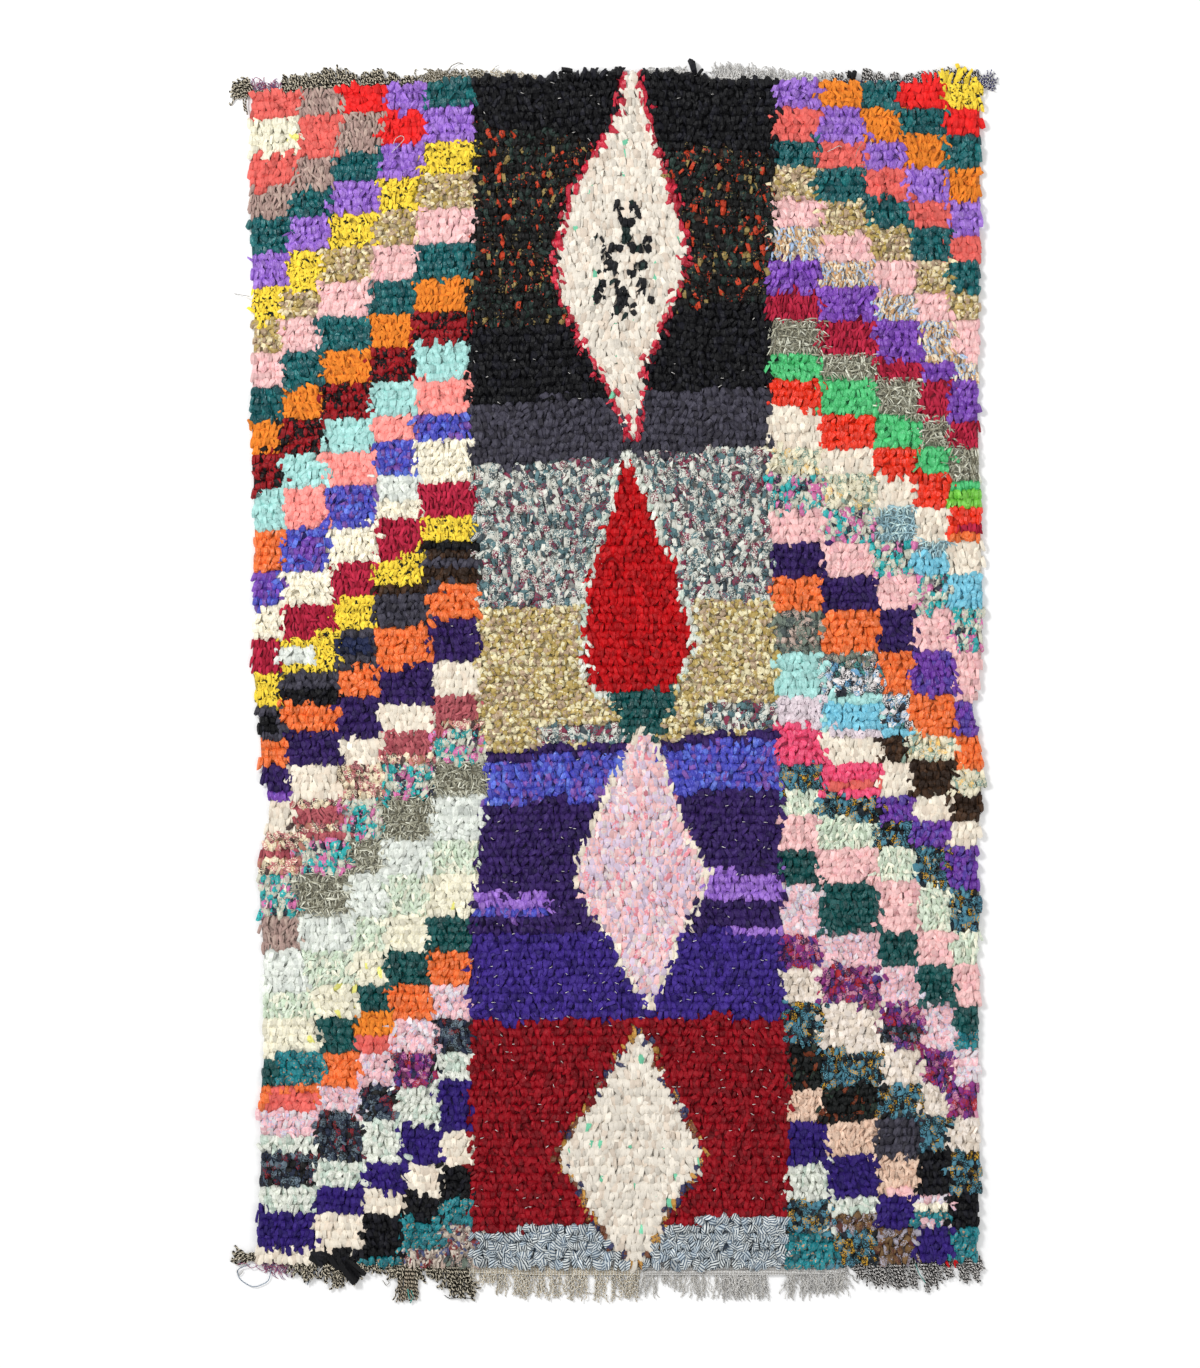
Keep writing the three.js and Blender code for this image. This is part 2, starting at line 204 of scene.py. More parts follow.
# %% The stepped side panels
LEFT_RUN = """
coral|taupe|teal|lilac|yellow spots|khaki|pink|teal|orange|red black|mint|coral pink|royal|pale yellow|
crimson|yellow spots|charcoal|red orange|purple|cream|rose|teal print|grey khaki|white|pale green|
cream flecks|dark teal|red orange|pink lilac|blue print|mint white|indigo|cream|black|turquoise|
beige mix|green grey|blue grey|blue grey"""
RIGHT_RUN = """
yellow spots|red|teal|orange|lilac|coral|teal|khaki|pink|blue tan|deep lilac|crimson|grey khaki|green|
scarlet|cream|pale mix|teal print|pink|purple|red orange|green grey|mint|pale lilac|hot pink|
blue yellow|pale green|pink|dark teal|pink lilac|magenta print|ecru|blue yellow|black mix|peach|indigo|
mint white|blue yellow|turquoise"""
LEFT_CHANGES = {
    (0, 0): "coral", (0, 1): "taupe", (0, 2): "red", (0, 3): "lilac", (0, 4): "teal",
    (1, 0): "cream flecks", (1, 1): "coral", (1, 2): "taupe", (1, 3): "red", (1, 4): "lilac",
    (13, 0): "red orange", (24, 0): "taupe", (12, 3): "pale yellow", (16, 2): "charcoal"}
RIGHT_CHANGES = {
    (13, 4): "lime", (14, 2): "dusty blue", (15, 3): "dusty blue", (16, 4): "sky", (18, 1): "ink print",
    (18, 3): "bright purple", (19, 2): "ink print", (19, 4): "bright purple", (20, 1): "cream",
    (20, 2): "brown", (20, 3): "pale mix", (23, 3): "bright purple", (23, 4): "cream",
    (24, 4): "bright purple", (21, 1): "hot pink", (21, 2): "cream", (21, 3): "brown", (21, 4): "pale mix",
    (22, 2): "bright purple", (22, 3): "cream", (22, 4): "brown", (31, 2): "charcoal", (32, 3): "black",
    (33, 1): "mint white", (33, 2): "indigo", (33, 3): "pink lilac", (33, 4): "black",
    (34, 1): "blue yellow", (34, 2): "gold brown", (34, 3): "indigo", (34, 4): "turquoise"}
# y, then the six column edges
LEFT_COLUMNS = table("""
    -854 -628 -525 -444 -373 -303 -252, -626 -626 -518 -448 -394 -315 -256,
    -452 -634 -556 -462 -402 -331 -252, -189 -630 -569 -480 -411 -318 -224,
    -23 -639 -586 -485 -418 -318 -238, 292 -646 -581 -504 -422 -346 -248,
    625 -642 -584 -520 -432 -355 -257, 992 -649 -550 -481 -404 -332 -248""")
RIGHT_COLUMNS = table("""
    -1003 292 380 457 523 586 640, -819 304 364 455 530 581 644, -618 292 359 467 536 593 649,
    -338 289 352 455 520 579 642, -66 282 362 469 513 598 637, 196 271 362 452 523 579 653,
    590 268 359 455 532 588 649, 1010 280 352 429 492 572 644""")
# tops of the blocks, at the left panel's outer and inner side and the right panel's inner and outer side
ROW_TOPS = table("""
    1012 1031 1032 1034, 968 989 985 987, 901 924 934 933, 840 872 884 880, 793 810 831 826,
    732 752 774 770, 665 690 723 719, 611 632 670 665, 555 579 620 612, 499 518 558 544,
    436 460 514 509, 382 408 458 439, 312 346 397 392, 243 280 345 341, 168 220 280 296,
    105 159 220 229, 52 98 161 170, -2 26 102 112, -56 -44 32 35, -112 -100 -33 -44,
    -159 -154 -93 -108, -222 -217 -152 -161, -290 -287 -210 -208, -354 -350 -256 -261,
    -425 -425 -313 -306, -486 -481 -371 -371, -550 -544 -452 -446, -600 -606 -511 -509,
    -668 -660 -581 -581, -723 -718 -656 -656, -760 -798 -724 -723, -830 -870 -782 -777,
    -892 -917 -852 -840, -933 -961 -922 -910, -1006 -1020 -978 -968""")


BLOCK_ROWS, BLOCK_COLUMNS = len(ROW_TOPS), 5
BLOCK_WOBBLE = 4  # by which the tops of neighbouring blocks differ


def panel_chart(run, step, start, changes):
    """Cloth of block (row, column): the run's entry number start + row + step * column."""
    names = run.replace("\n", "").split("|")
    rows, columns = np.mgrid[0:BLOCK_ROWS, 0:BLOCK_COLUMNS]
    places = np.clip(start + rows + step * columns, 0, len(names) - 1)
    chart = np.array([ID[name] for name in names])[places]
    for block, name in changes.items():
        chart[block] = ID[name]
    return chart


def panel_cloth(x, y, edges, tops, chart):
    """Cloth at (x, y): count the column edges to the left and the block tops above, the tops
    running straight from one side of the panel to the other and wobbling block by block."""
    outer, *inner, last = [np.interp(y, edges[:, 0], line) for line in edges.T[1:]]
    block = (x > np.array(inner)).sum(0)
    share = np.clip((x - outer) / (last - outer), 0, 1)
    wobble = np.random.default_rng(5).uniform(-BLOCK_WOBBLE, BLOCK_WOBBLE, chart.shape)[:, block]
    level = tops[:, :1] * (1 - share) + tops[:, 1:] * share + wobble
    return chart[np.clip((y < level).sum(0) - 1, 0, BLOCK_ROWS - 1), block]


left_chart = panel_chart(LEFT_RUN, step=1, start=-2, changes=LEFT_CHANGES)
right_chart = panel_chart(RIGHT_RUN, step=-1, start=4, changes=RIGHT_CHANGES)
print("blocks", left_chart.size + right_chart.size)

# %% [markdown]
# The middle is woven in bands, with four lozenges down its axis, each outlined one knot wide. The
# second stands on a teal foot.
# A lozenge is wide or narrow by rows, so a table of its left and right edge at a few heights
# is enough. The small dark figure in the first is charted knot by knot, as weavers chart one.

# %% The banded middle and its lozenges
# y, left edge, right edge
MIDDLE_EDGES = table("""
    -1012 -248 296, -819 -252 304, -618 -256 296, -452 -252 291, -338 -242 289, -189 -224 286,
    -66 -238 282, 74 -240 276, 196 -242 271, 292 -248 268, 458 -259 266, 625 -257 268, 826 -248 273,
    1010 -248 280""")
BANDS = [  # cloth, where it ends at the left and at the right edge of the middle
    ("black", 957, 905), ("black flecks", 598, 651), ("black", 469, 504), ("charcoal", 357, 396),
    ("speckle", 110, 130), ("khaki mix", -140, -100), ("purple", -156, -116), ("royal", -229, -200),
    ("purple", -455, -450), ("violet", -611, -598), ("crimson field", -975, -950),
    ("blue grey", -1080, -1080)]
PATCHES = [  # of the middle: cloth, x from and to, y from and to
    ("speckle", -133, 24, -124, -93), ("speckle", 150, 284, -100, -54), ("lilac", -243, -119, -420, -387),
    ("royal", -243, -128, -428, -406), ("lilac", 150, 287, -399, -346), ("lilac", 186, 287, -452, -438)]
PIECED = [  # of the side panels, where a rag ran out inside a block: the same
    ("white", -424, -346, 301, 341), ("orchid", -572, -516, 200, 229), ("orchid", -639, -593, 140, 172),
    ("black", -331, -242, 212, 224), ("brown", -331, -242, 198, 212), ("brown", -336, -242, 161, 180),
    ("brown", -424, -332, 140, 158), ("white", -590, -530, 21, 46), ("navy", -490, -427, 30, 63),
    ("black", -588, -483, -51, -32), ("black", -634, -588, -107, -70), ("orchid", -628, -570, -222, -201),
    ("rose speckle", -303, -234, -100, -82), ("rose speckle", -413, -315, -158, -142),
    ("rose speckle", -485, -406, -222, -158), ("rose speckle", -565, -474, -236, -220),
    ("rose speckle", -562, -474, -284, -266), ("rose speckle", -634, -546, -304, -284),
    ("rose speckle", -634, -546, -354, -326), ("green", 581, 654, 324, 340),
    ("crimson", 602, 654, 247, 261), ("red orange", 584, 654, 229, 247), ("sky", 514, 578, 175, 208),
    ("green grey", 355, 448, 14, 35), ("sky", 364, 466, -98, -56), ("sky", 467, 518, -117, -96),
    ("pale lilac", 373, 466, -117, -94), ("coral", 364, 462, -205, -186),
    ("orange", -458, -390, -634, -595), ("coral", -458, -390, -662, -634),
    ("coral", -609, -527, -770, -728), ("turquoise", -595, -516, -721, -662),
    ("magenta print", -382, -320, -719, -665), ("mint white", -626, -522, -836, -812),
    ("blue print", 460, 528, -649, -621), ("turquoise", 592, 654, -658, -628),
    ("pink", 471, 522, -917, -896), ("gold brown", 378, 458, -978, -943),
    ("pale yellow", 523, 583, -943, -924), ("turquoise", 523, 583, -962, -943)]
LOZENGES = [  # field, outline, and rows of y, left edge, right edge
    ("diamond cream", "wine", table("""
        411 26 30, 494 -9 42, 546 -40 52, 598 -61 74, 668 -100 103, 738 -103 119, 844 -72 96,
        914 -32 68, 975 4 48, 1015 13 41, 1054 20 37""")),
    ("diamond red", "mint white", table("""
        -37 -28 91, -14 -40 103, 21 -49 124, 74 -56 133, 126 -49 116, 196 -33 100, 248 -14 68,
        301 -2 58, 374 18 21""")),
    ("dark teal", "dark teal", table("""
        -122 33 65, -75 14 80, -37 0 96""")),
    ("mottled pink", "cream", table("""
        -570 56 60, -522 26 84, -469 2 100, -416 -37 126, -382 -60 146, -346 -68 158, -276 -42 124,
        -206 -10 94, -136 24 66, -102 45 48""")),
    ("diamond cream", "ochre navy", table("""
        -1034 32 35, -994 -9 61, -942 -40 88, -889 -72 124, -845 -100 149, -802 -77 131, -766 -52 116,
        -714 -18 84, -653 18 58, -626 33 37"""))]
FIGURE = """
.....#..##...
.....#..##...
......###....
......##.....
.#.....##...#
..#.##..####.
..##.........
...##....##..
..#.#...##...
.##.##....#..
.#...#.#...#.
##...###....#
.....##.#....
....#..#....."""
FIGURE_COLUMN, FIGURE_ROW = 75, 123  # of the knot under the figure's top left mark
OUTLINE, OUTLINE_RISE = 9.5, 1.2  # a lozenge's outline, and how much thicker it is at its two points


def middle_sides(y):
    """Left and right edge of the middle at y."""
    return [np.interp(y, MIDDLE_EDGES[:, 0], side) for side in MIDDLE_EDGES.T[1:]]


def middle_cloth(x, y):
    """Cloth at (x, y) of the middle: its band, then the patches, then each lozenge over them."""
    left, right = middle_sides(y)
    share = np.clip((x - left) / (right - left), 0, 1)
    ripple = 3 * np.sin(x / 23) + 2 * np.sin(x / 9)
    ends = np.array([a * (1 - share) + b * share + ripple for _, a, b in BANDS])
    bands = np.array([ID[name] for name, _, _ in BANDS])
    cloth = bands[np.clip((y < ends).sum(0), 0, len(BANDS) - 1)]
    for name, x0, x1, y0, y1 in PATCHES:
        cloth[(x > x0) & (x < x1) & (y > y0 + ripple) & (y < y1 + ripple)] = ID[name]
    for field, outline, rows in LOZENGES:
        low, high = (np.interp(y, rows[:, 0], side) for side in rows.T[1:])
        for name, grow in ((outline, OUTLINE), (field, 0)):
            tall = (y > rows[0, 0] - OUTLINE_RISE * grow) & (y < rows[-1, 0] + OUTLINE_RISE * grow)
            cloth[tall & (x > low - grow) & (x < high + grow)] = ID[name]
    return cloth


def cloth_at(x, y):
    """Cloth at any place: the left panel, the right panel or the middle between them, and then the
    pieced rags over the panels."""
    left, right = middle_sides(y)
    in_left = panel_cloth(x, y, LEFT_COLUMNS, ROW_TOPS[:, :2], left_chart)
    in_right = panel_cloth(x, y, RIGHT_COLUMNS, ROW_TOPS[:, 2:], right_chart)
    cloth = np.where(x < left, in_left, np.where(x > right, in_right, middle_cloth(x, y)))
    for name, x0, x1, y0, y1 in PIECED:
        cloth[((x < left) | (x > right)) & (x > x0) & (x < x1) & (y > y0) & (y < y1)] = ID[name]
    return cloth


knot_cloth = cloth_at(knot_x, knot_y)
down, across = np.argwhere([[mark == "#" for mark in line] for line in FIGURE.split()]).T
knot_cloth[(FIGURE_ROW - down) * KNOTS_ACROSS + FIGURE_COLUMN + across] = ID["figure black"]
print("cloths in use", np.unique(knot_cloth).size)

# %% [markdown]
# Shader maths reads best as plain arithmetic. A small class wraps a socket, so that sums and
# products of values that vary over a surface add Math nodes by themselves, and one method
# adds every other kind of node.

# %% A small language for materials
TURN = 2 * np.pi


class Amount:
    """A number that varies over a surface. + - and * on it add Math nodes."""

    def __init__(self, finish, socket):
        self.finish, self.socket = finish, socket

    def combine(self, operation, first, second):
        """A Math node on two numbers, either of which may vary."""
        return self.finish.add("ShaderNodeMath", {"operation": operation}, {0: first, 1: second})

    def __add__(self, other):
        return self.combine("ADD", self, other)

    def __radd__(self, other):
        return self.combine("ADD", other, self)

    def __sub__(self, other):
        return self.combine("SUBTRACT", self, other)

    def __mul__(self, other):
        return self.combine("MULTIPLY", self, other)

    def __rmul__(self, other):
        return self.combine("MULTIPLY", other, self)


class Finish:
    """A material under construction, with its nodes and its Principled shader."""

    def __init__(self, name, **uniform):
        """The sockets in `uniform` are the same all over the material."""
        self.material = bpy.data.materials.new(name)
        self.material.use_nodes = True
        self.tree = self.material.node_tree
        self.shader = self.tree.nodes["Principled BSDF"]
        self.feed(self.shader, {key.replace("_", " "): value for key, value in uniform.items()})

    def feed(self, node, sockets):
        """Links each input to what varies, or sets it to a plain value."""
        for key, value in sockets.items():
            value = value.socket if isinstance(value, Amount) else value
            if isinstance(value, bpy.types.NodeSocket):
                self.tree.links.new(value, node.inputs[key])
            else:
                node.inputs[key].default_value = value

    def add(self, kind, settings, sockets, out=0):
        """A node of that kind with its settings made first, its sockets fed, one output wrapped."""
        node = self.tree.nodes.new(kind)
        for key, value in settings.items():
            setattr(node, key, value)
        self.feed(node, sockets)
        return Amount(self, node.outputs[out])

    def stored(self, name, out=0):
        """An attribute that the piece carries: output 0 is its colour, 2 its value, 3 its fourth number."""
        return self.add("ShaderNodeAttribute", {"attribute_name": name}, {}, out)

    def sine(self, turns):
        """The sine of a number of turns."""
        return self.add("ShaderNodeMath", {"operation": "SINE"}, {0: turns * TURN})

    def noise(self, scale, detail=2.0, stretch=(1, 1, 1)):
        """Noise over the piece's own coordinates, scale in cells a metre, stretched along an axis."""
        place = self.add("ShaderNodeTexCoord", {}, {}, out=3)
        spread = self.add("ShaderNodeMapping", {}, {"Vector": place, "Scale": stretch})
        return self.add("ShaderNodeTexNoise", {}, {"Vector": spread, "Scale": scale, "Detail": detail})

    def mix(self, share, first, second):
        """The first colour where the share is 0, the second where it is 1."""
        return self.add("ShaderNodeMix", {"data_type": "RGBA"}, {0: share, 6: first, 7: second}, out=2)

    def shade(self, colour, amount):
        """The colour times a grey amount."""
        return self.add("ShaderNodeVectorMath", {"operation": "SCALE"}, {0: colour, "Scale": amount})

    def dyed(self, colour, roughness, height, depth):
        """Feeds the shader: its colour, its roughness and a relief of that depth in metres."""
        relief = self.add("ShaderNodeBump", {}, {"Height": height, "Distance": depth, "Strength": 1.0})
        self.feed(self.shader, {"Base Color": colour, "Roughness": roughness, "Normal": relief})
        return self.material


print("material language ready")

# %% [markdown]
# The ten finishes differ in how the cloth is made. Woven cotton and polyester take a crease and
# a faint gloss, cut jersey rolls up and stays matt, and wool is soft and fuzzy. The dye is an
# attribute that the tufts carry, so one material serves every colour and the nodes add the
# cloth itself, with painted shade in its creases.

# %% The cloth finishes
FADING = 9.0  # patches of faded dye in a metre
PRINT_GAIN, PRINT_LEVEL = 0.44, 0.72  # a print covers where noise + gain * share passes the level
PRINT_EDGE, STRIPE_EDGE = 14.0, 3.0  # how sharply a fleck and a stripe begin
STRIPE_SHIFT = 0.1  # makes one colour of a stripe a little wider than the other


def rag_finish(name, rough, weave, creases, depth, sheen, gloss, flecks=240, pleat=0.3, striped=False):
    """Dye times fine weave, slow fading and painted shade that darkens the creases, with flecks of
    the print's colour where noise passes a level set by the print's share. Creases are smooth noise,
    in number a metre across the rug and in depth, drawn out along it by the pleat share, and the
    weave rides on them. A striped cloth has the print's colour where the sine of the stripe's turns is high,
    in place of flecks."""
    finish = Finish(name, Sheen_Weight=sheen, Sheen_Roughness=0.6, Specular_IOR_Level=gloss)
    dye = finish.stored("dye")
    threads = finish.noise(weave, 3.0)
    fading = finish.noise(FADING, 2.0)
    crease_relief_and_shade = finish.noise(creases, 1.0, (1.0, pleat, 1.0))
    fleck = finish.stored("print")
    if striped:
        mark = finish.sine(finish.stored("print", out=3)) * STRIPE_EDGE + STRIPE_SHIFT
    else:
        share = finish.stored("dye", out=3)
        mark = (finish.noise(flecks, 1.0) + PRINT_GAIN * share - PRINT_LEVEL) * PRINT_EDGE
    colour = finish.mix(mark, dye, fleck)
    # Painted shade: the colour is darker where the crease noise is low. Weave and fading are the cloth's
    # own.
    colour = finish.shade(colour, 0.82 + 0.16 * threads + 0.10 * fading + 0.16 * crease_relief_and_shade)
    return finish.dyed(colour, rough + 0.18 * threads, crease_relief_and_shade + 0.1 * threads, depth)


CLOTH_FINISHES = {  # name, roughness, threads and creases in a metre, relief in metres, sheen, gloss
    "crisp": rag_finish("woven rag", 0.28, 900, 330, 0.0026, 0.0, 0.5),
    "print": rag_finish("printed rag", 0.5, 900, 300, 0.0020, 0.0, 0.30, flecks=430),
    "broad": rag_finish("soft woven rag", 0.55, 700, 280, 0.0020, 0.0, 0.20),
    "fine": rag_finish("fleecy rag", 0.8, 500, 420, 0.0018, 0.02, 0.15, flecks=150, pleat=0.6),
    "jersey": rag_finish("jersey rag", 0.78, 520, 300, 0.0015, 0.02, 0.15),
    "wiry": rag_finish("frayed rag", 0.85, 900, 500, 0.0008, 0.02, 0.15),
    "wool": rag_finish("wool rag", 0.80, 380, 240, 0.0016, 0.04, 0.15),
    "cord": rag_finish("striped rag", 0.70, 700, 150, 0.0012, 0.0, 0.15, striped=True),
    "matt": rag_finish("matt rag", 0.45, 900, 300, 0.0022, 0.0, 0.22),
    "tossed": rag_finish("satin rag", 0.45, 700, 200, 0.0015, 0.0, 0.25, flecks=160, pleat=1.0),
}
print(list(CLOTH_FINISHES))

# %% [markdown]
# Each knot leaves two or more tails of rag that lie down over the row below. A particle system
# could scatter one leaf, but tails differ by cloth, so they are built together as arrays: a
# strip that rises from the knot, bends over, is folded along its middle, and ends in a cut.

# %% The shape of a rag tail
CUT_PARTS = "tails kept length width ridge spread roll ragged lift".split()
CUTS = {style: dict(zip(CUT_PARTS, row)) for style, row in {
    # tails a knot and the share kept, length and width, height of the ridge as a share of half the
    # width, spread of lean and of roll in degrees, raggedness of the tip, height of the arch
    "crisp": (2, 1.0, 18.5, 9.4, 0.8, 26, 26, 0.4, 8),
    "print": (2, 1.0, 18, 9.2, 0.6, 34, 26, 0.5, 8),
    "broad": (2, 1.0, 18.5, 10.2, 0.6, 26, 18, 0.4, 7),
    "fine": (3, 1.0, 18.5, 5.6, 0.5, 30, 20, 0.5, 7),
    "jersey": (3, 1.0, 19.5, 4.6, 0.9, 22, 20, 0.6, 8),
    "wiry": (6, 1.0, 18, 2.2, 0.6, 60, 40, 0.5, 9),
    "wool": (2, 1.0, 20, 9.6, 0.5, 10, 12, 0.3, 7),
    "cord": (2, 0.8, 18, 12.0, 0.6, 30, 24, 0.4, 9),
    "matt": (2, 1.0, 18.5, 9.2, 0.75, 26, 24, 0.5, 8),
    "tossed": (3, 0.9, 13.5, 8.0, 0.5, 50, 22, 0.6, 8),
}.items()}
ALONG = np.array([0.0, 0.3, 0.65, 1.0])  # stations of a tail, as shares of its length
ACROSS = np.array([-1.0, 0.0, 1.0])  # and across it, as shares of half its width
ROOT_HEIGHT, LEAST_HEIGHT = 4.0, 0.8
TAPER = 0.15  # share of a tail's width that it lacks at its root
STRIPE_PITCH = 4.0


def tail_points(x, y, heading, cut):
    """Points (tail, along, across, xyz): a middle line that runs out from the knot and arches up
    as most of half a sine, and a strip across it with a rounded ridge along its middle, tilted by
    a random turn, narrower at its root and its tip, and ending in a rounded, ragged edge."""
    n, s, t = x.size, ALONG[None, :, None], ACROSS[None, None, :]
    some = lambda low, high: chance.uniform(low, high, n)[:, None, None]
    length = cut["length"] * some(0.8, 1.15)
    swell = 1 - TAPER + TAPER * np.sin(np.pi * np.clip(s, 0, 0.85))
    half = 0.5 * cut["width"] * some(0.7, 1.35) * swell
    up = cut["lift"] * some(0.75, 1.3)
    roll = np.radians(chance.normal(0, cut["roll"], n))[:, None, None] + some(-0.4, 0.4) * s
    ridge = cut["ridge"] * half * (1 - t ** 2) * some(0.3, 1.2)
    bend = some(-0.2, 0.2) * length * s ** 2
    tip = some(-1, 1) * cut["ragged"] * t + some(0.1, 0.7) * (1 - t ** 2)
    out = length * s + tip * half * s ** 3
    side = bend + np.cos(roll) * half * t - np.sin(roll) * ridge
    arch = up * np.sin(np.pi * s ** 0.75 * some(0.78, 0.97))
    high = ROOT_HEIGHT + arch + np.sin(roll) * half * t + np.cos(roll) * ridge
    c, d = np.cos(heading)[:, None, None], np.sin(heading)[:, None, None]
    place = (x[:, None, None] + c * out - d * side, y[:, None, None] + d * out + c * side)
    return np.stack([*place, np.maximum(high, LEAST_HEIGHT)], -1)


def to_light(colour):
    """Colour as the eye sees it, 0 to 255, as an amount of light, 0 to 1."""
    c = np.asarray(colour, float) / 255
    return np.where(c <= 0.04045, c / 12.92, ((c + 0.055) / 1.055) ** 2.4)


MOST_DYES = 6  # the most colours in one list


def dye_table(lists):
    """The colours with their running weights, one row a cloth."""
    dyes, steps = np.zeros((len(lists), MOST_DYES, 3)), np.ones((len(lists), MOST_DYES))
    for number, rows in enumerate(np.array(rows, float) for rows in lists):
        dyes[number, :len(rows)] = to_light(rows[:, 1:])
        steps[number, :len(rows)] = np.cumsum(rows[:, 0]) / rows[:, 0].sum()
    return dyes, steps


PRINT_SHARE = np.array([cloth[1] for cloth in CLOTHS.values()])
TAIL_DYES, TAIL_STEPS = dye_table([cloth[2] for cloth in CLOTHS.values()])
PRINT_DYES, PRINT_STEPS = dye_table([cloth[-1] for cloth in CLOTHS.values()])

# Painted shade: each tail is painted darker at its knot, where the tails above shade it.
ROOT_PAINTED_SHADE = 0.12  # how much darker a tail is at its knot
TONE_SPREAD, TONE_LIMITS = 0.11, (0.15, 1.3)  # of the tails' lightness


def tail_dye(cloth, cut):
    """Two colours for each point of the tails, that of the cloth and that of its print: both are
    picked by weight for a whole tail, a little lighter or darker at random, and darker towards the
    knot as painted shade. The first has the print's share as a fourth number. The second has the
    turns of a woven stripe so far, along a line that crosses each tail at a random angle."""
    size = cloth.size
    pick, fleck = ((chance.random((size, 1)) > steps[cloth]).sum(-1) for steps in (TAIL_STEPS, PRINT_STEPS))
    # painted shade, darkest at the knot and gone by the middle of the tail
    painted_root_shade = 1 - ROOT_PAINTED_SHADE + ROOT_PAINTED_SHADE * np.clip(2 * ALONG, 0, 1)
    tone = chance.normal(1, TONE_SPREAD, (size, 1, 1)) * painted_root_shade[None, :, None]
    tone = np.clip(tone * np.ones((1, 1, len(ACROSS))), *TONE_LIMITS)[..., None]
    share = np.broadcast_to(PRINT_SHARE[cloth][:, None, None, None], tone.shape)
    slant = chance.uniform(-1.3, 1.3, (size, 1, 1))
    forward = cut["length"] * ALONG[None, :, None] * np.sin(slant)
    turns = (forward + 0.5 * cut["width"] * ACROSS * np.cos(slant))[..., None] / STRIPE_PITCH
    dye = TAIL_DYES[cloth, pick][:, None, None] * tone
    printed = PRINT_DYES[cloth, fleck][:, None, None] * tone
    return np.concatenate([dye, share], -1), np.concatenate([printed, turns], -1)


print("a tail has", 2 * (len(ALONG) - 1) * (len(ACROSS) - 1), "triangles")

# %% [markdown]
# The pile rises and falls as thick and thin rags alternate. All tails of all cloths are made
# here, cloth by cloth, with the lean of a whole patch a little different from its neighbours.

# %% Knot all the tails
ROOT_SPREAD, ROOT_DRIFT = 8, (1.3, 1.5)  # of a knot's tails, across and along the rug
LEAN_STEP = 10  # degrees between the tails of one knot
EDGE, EDGE_LEAN = 0.03, 10  # knots this near a side lean out by no more than these degrees
BACK_SHARE, BACK_SHARE_AT_END = 0.03, 0.5  # of the tails, lying up the rug and not down it
ROOT_BACK, ROOT_DOWN = -8, 7  # how far the root of each kind is moved, so that the tail covers its knot
patch_lean = 12 * np.sin(knot_x / 41 + 2 * np.sin(knot_y / 63)) + 7 * np.sin(knot_y / 37)
points, dyes, prints, kinds, homes = [], [], [], [], []


def keep_tails(x, y, bearing, cloth, style, cut):
    """Adds tails of one way of cutting to the arrays, at bearings in degrees from +X, with their
    colours and the x they belong to."""
    points.append(tail_points(x, y, np.radians(bearing), cut))
    dye, fleck = tail_dye(cloth, cut)
    dyes.append(dye)
    prints.append(fleck)
    kinds.append(np.full(x.size, list(CUTS).index(style)))
    homes.append(x)


for style, cut in CUTS.items():
    of_style = np.array([cloth[0] == style for cloth in CLOTHS.values()])
    own = np.repeat(np.flatnonzero(of_style[knot_cloth]), cut["tails"])
    turn = np.tile(np.arange(cut["tails"]) - (cut["tails"] - 1) / 2, own.size // cut["tails"])
    kept = chance.random(own.size) < cut["kept"]
    own, turn = own[kept], turn[kept]
    x = knot_x[own] + ROOT_SPREAD * turn / cut["tails"] + chance.normal(0, ROOT_DRIFT[0], own.size)
    y = knot_y[own] + chance.normal(0, ROOT_DRIFT[1], own.size)
    back = chance.random(own.size) < np.where(row[own] == KNOT_ROWS - 1, BACK_SHARE_AT_END, BACK_SHARE)
    lean = patch_lean[own] + LEAN_STEP * turn + chance.normal(0, cut["spread"], own.size)
    most_left = np.where(knot_u[own] < EDGE, -EDGE_LEAN, -90)
    most_right = np.where(knot_u[own] > 1 - EDGE, EDGE_LEAN, 90)
    bearing = np.clip(lean, most_left, most_right) - 90 + 180 * back
    keep_tails(x, y + np.where(back, ROOT_BACK, ROOT_DOWN), bearing, knot_cloth[own], style, cut)
LOOSE_RAGS = [  # cloth, x, y, bearing in degrees, tails, spread of their roots, length, width
    ("black", 138, 1044, 108, 2, 2, 24, 9), ("black", 142, 1044, 62, 1, 2, 15, 8),
    ("black", 411, 1034, 95, 3, 3, 14, 8), ("red", 546, 1018, 92, 6, 6, 30, 6),
    ("yellow spots", 574, 1024, 96, 6, 6, 26, 8), ("yellow spots", 600, 1030, 62, 5, 6, 30, 7),
    ("yellow spots", 622, 1018, 70, 5, 6, 22, 8), ("black", -488, -1016, -52, 5, 5, 52, 16),
    ("black", -530, -1014, -20, 7, 8, 34, 14), ("black", -500, -1010, -40, 6, 8, 34, 14),
    ("diamond red", 584, -1026, -60, 3, 6, 14, 6)]
for name, x, y, bearing, count, spread, length, width in LOOSE_RAGS:
    style = CLOTHS[name][0]
    x, y = x + chance.normal(0, spread, count), y + chance.normal(0, 2, count)
    bearing = bearing + chance.normal(0, 12, count)
    keep_tails(x, y, bearing, np.full(count, ID[name]), style, dict(CUTS[style], length=length, width=width))
points, dyes, prints, kinds, homes = (np.concatenate(a) for a in (points, dyes, prints, kinds, homes))
print(len(points), "tails")
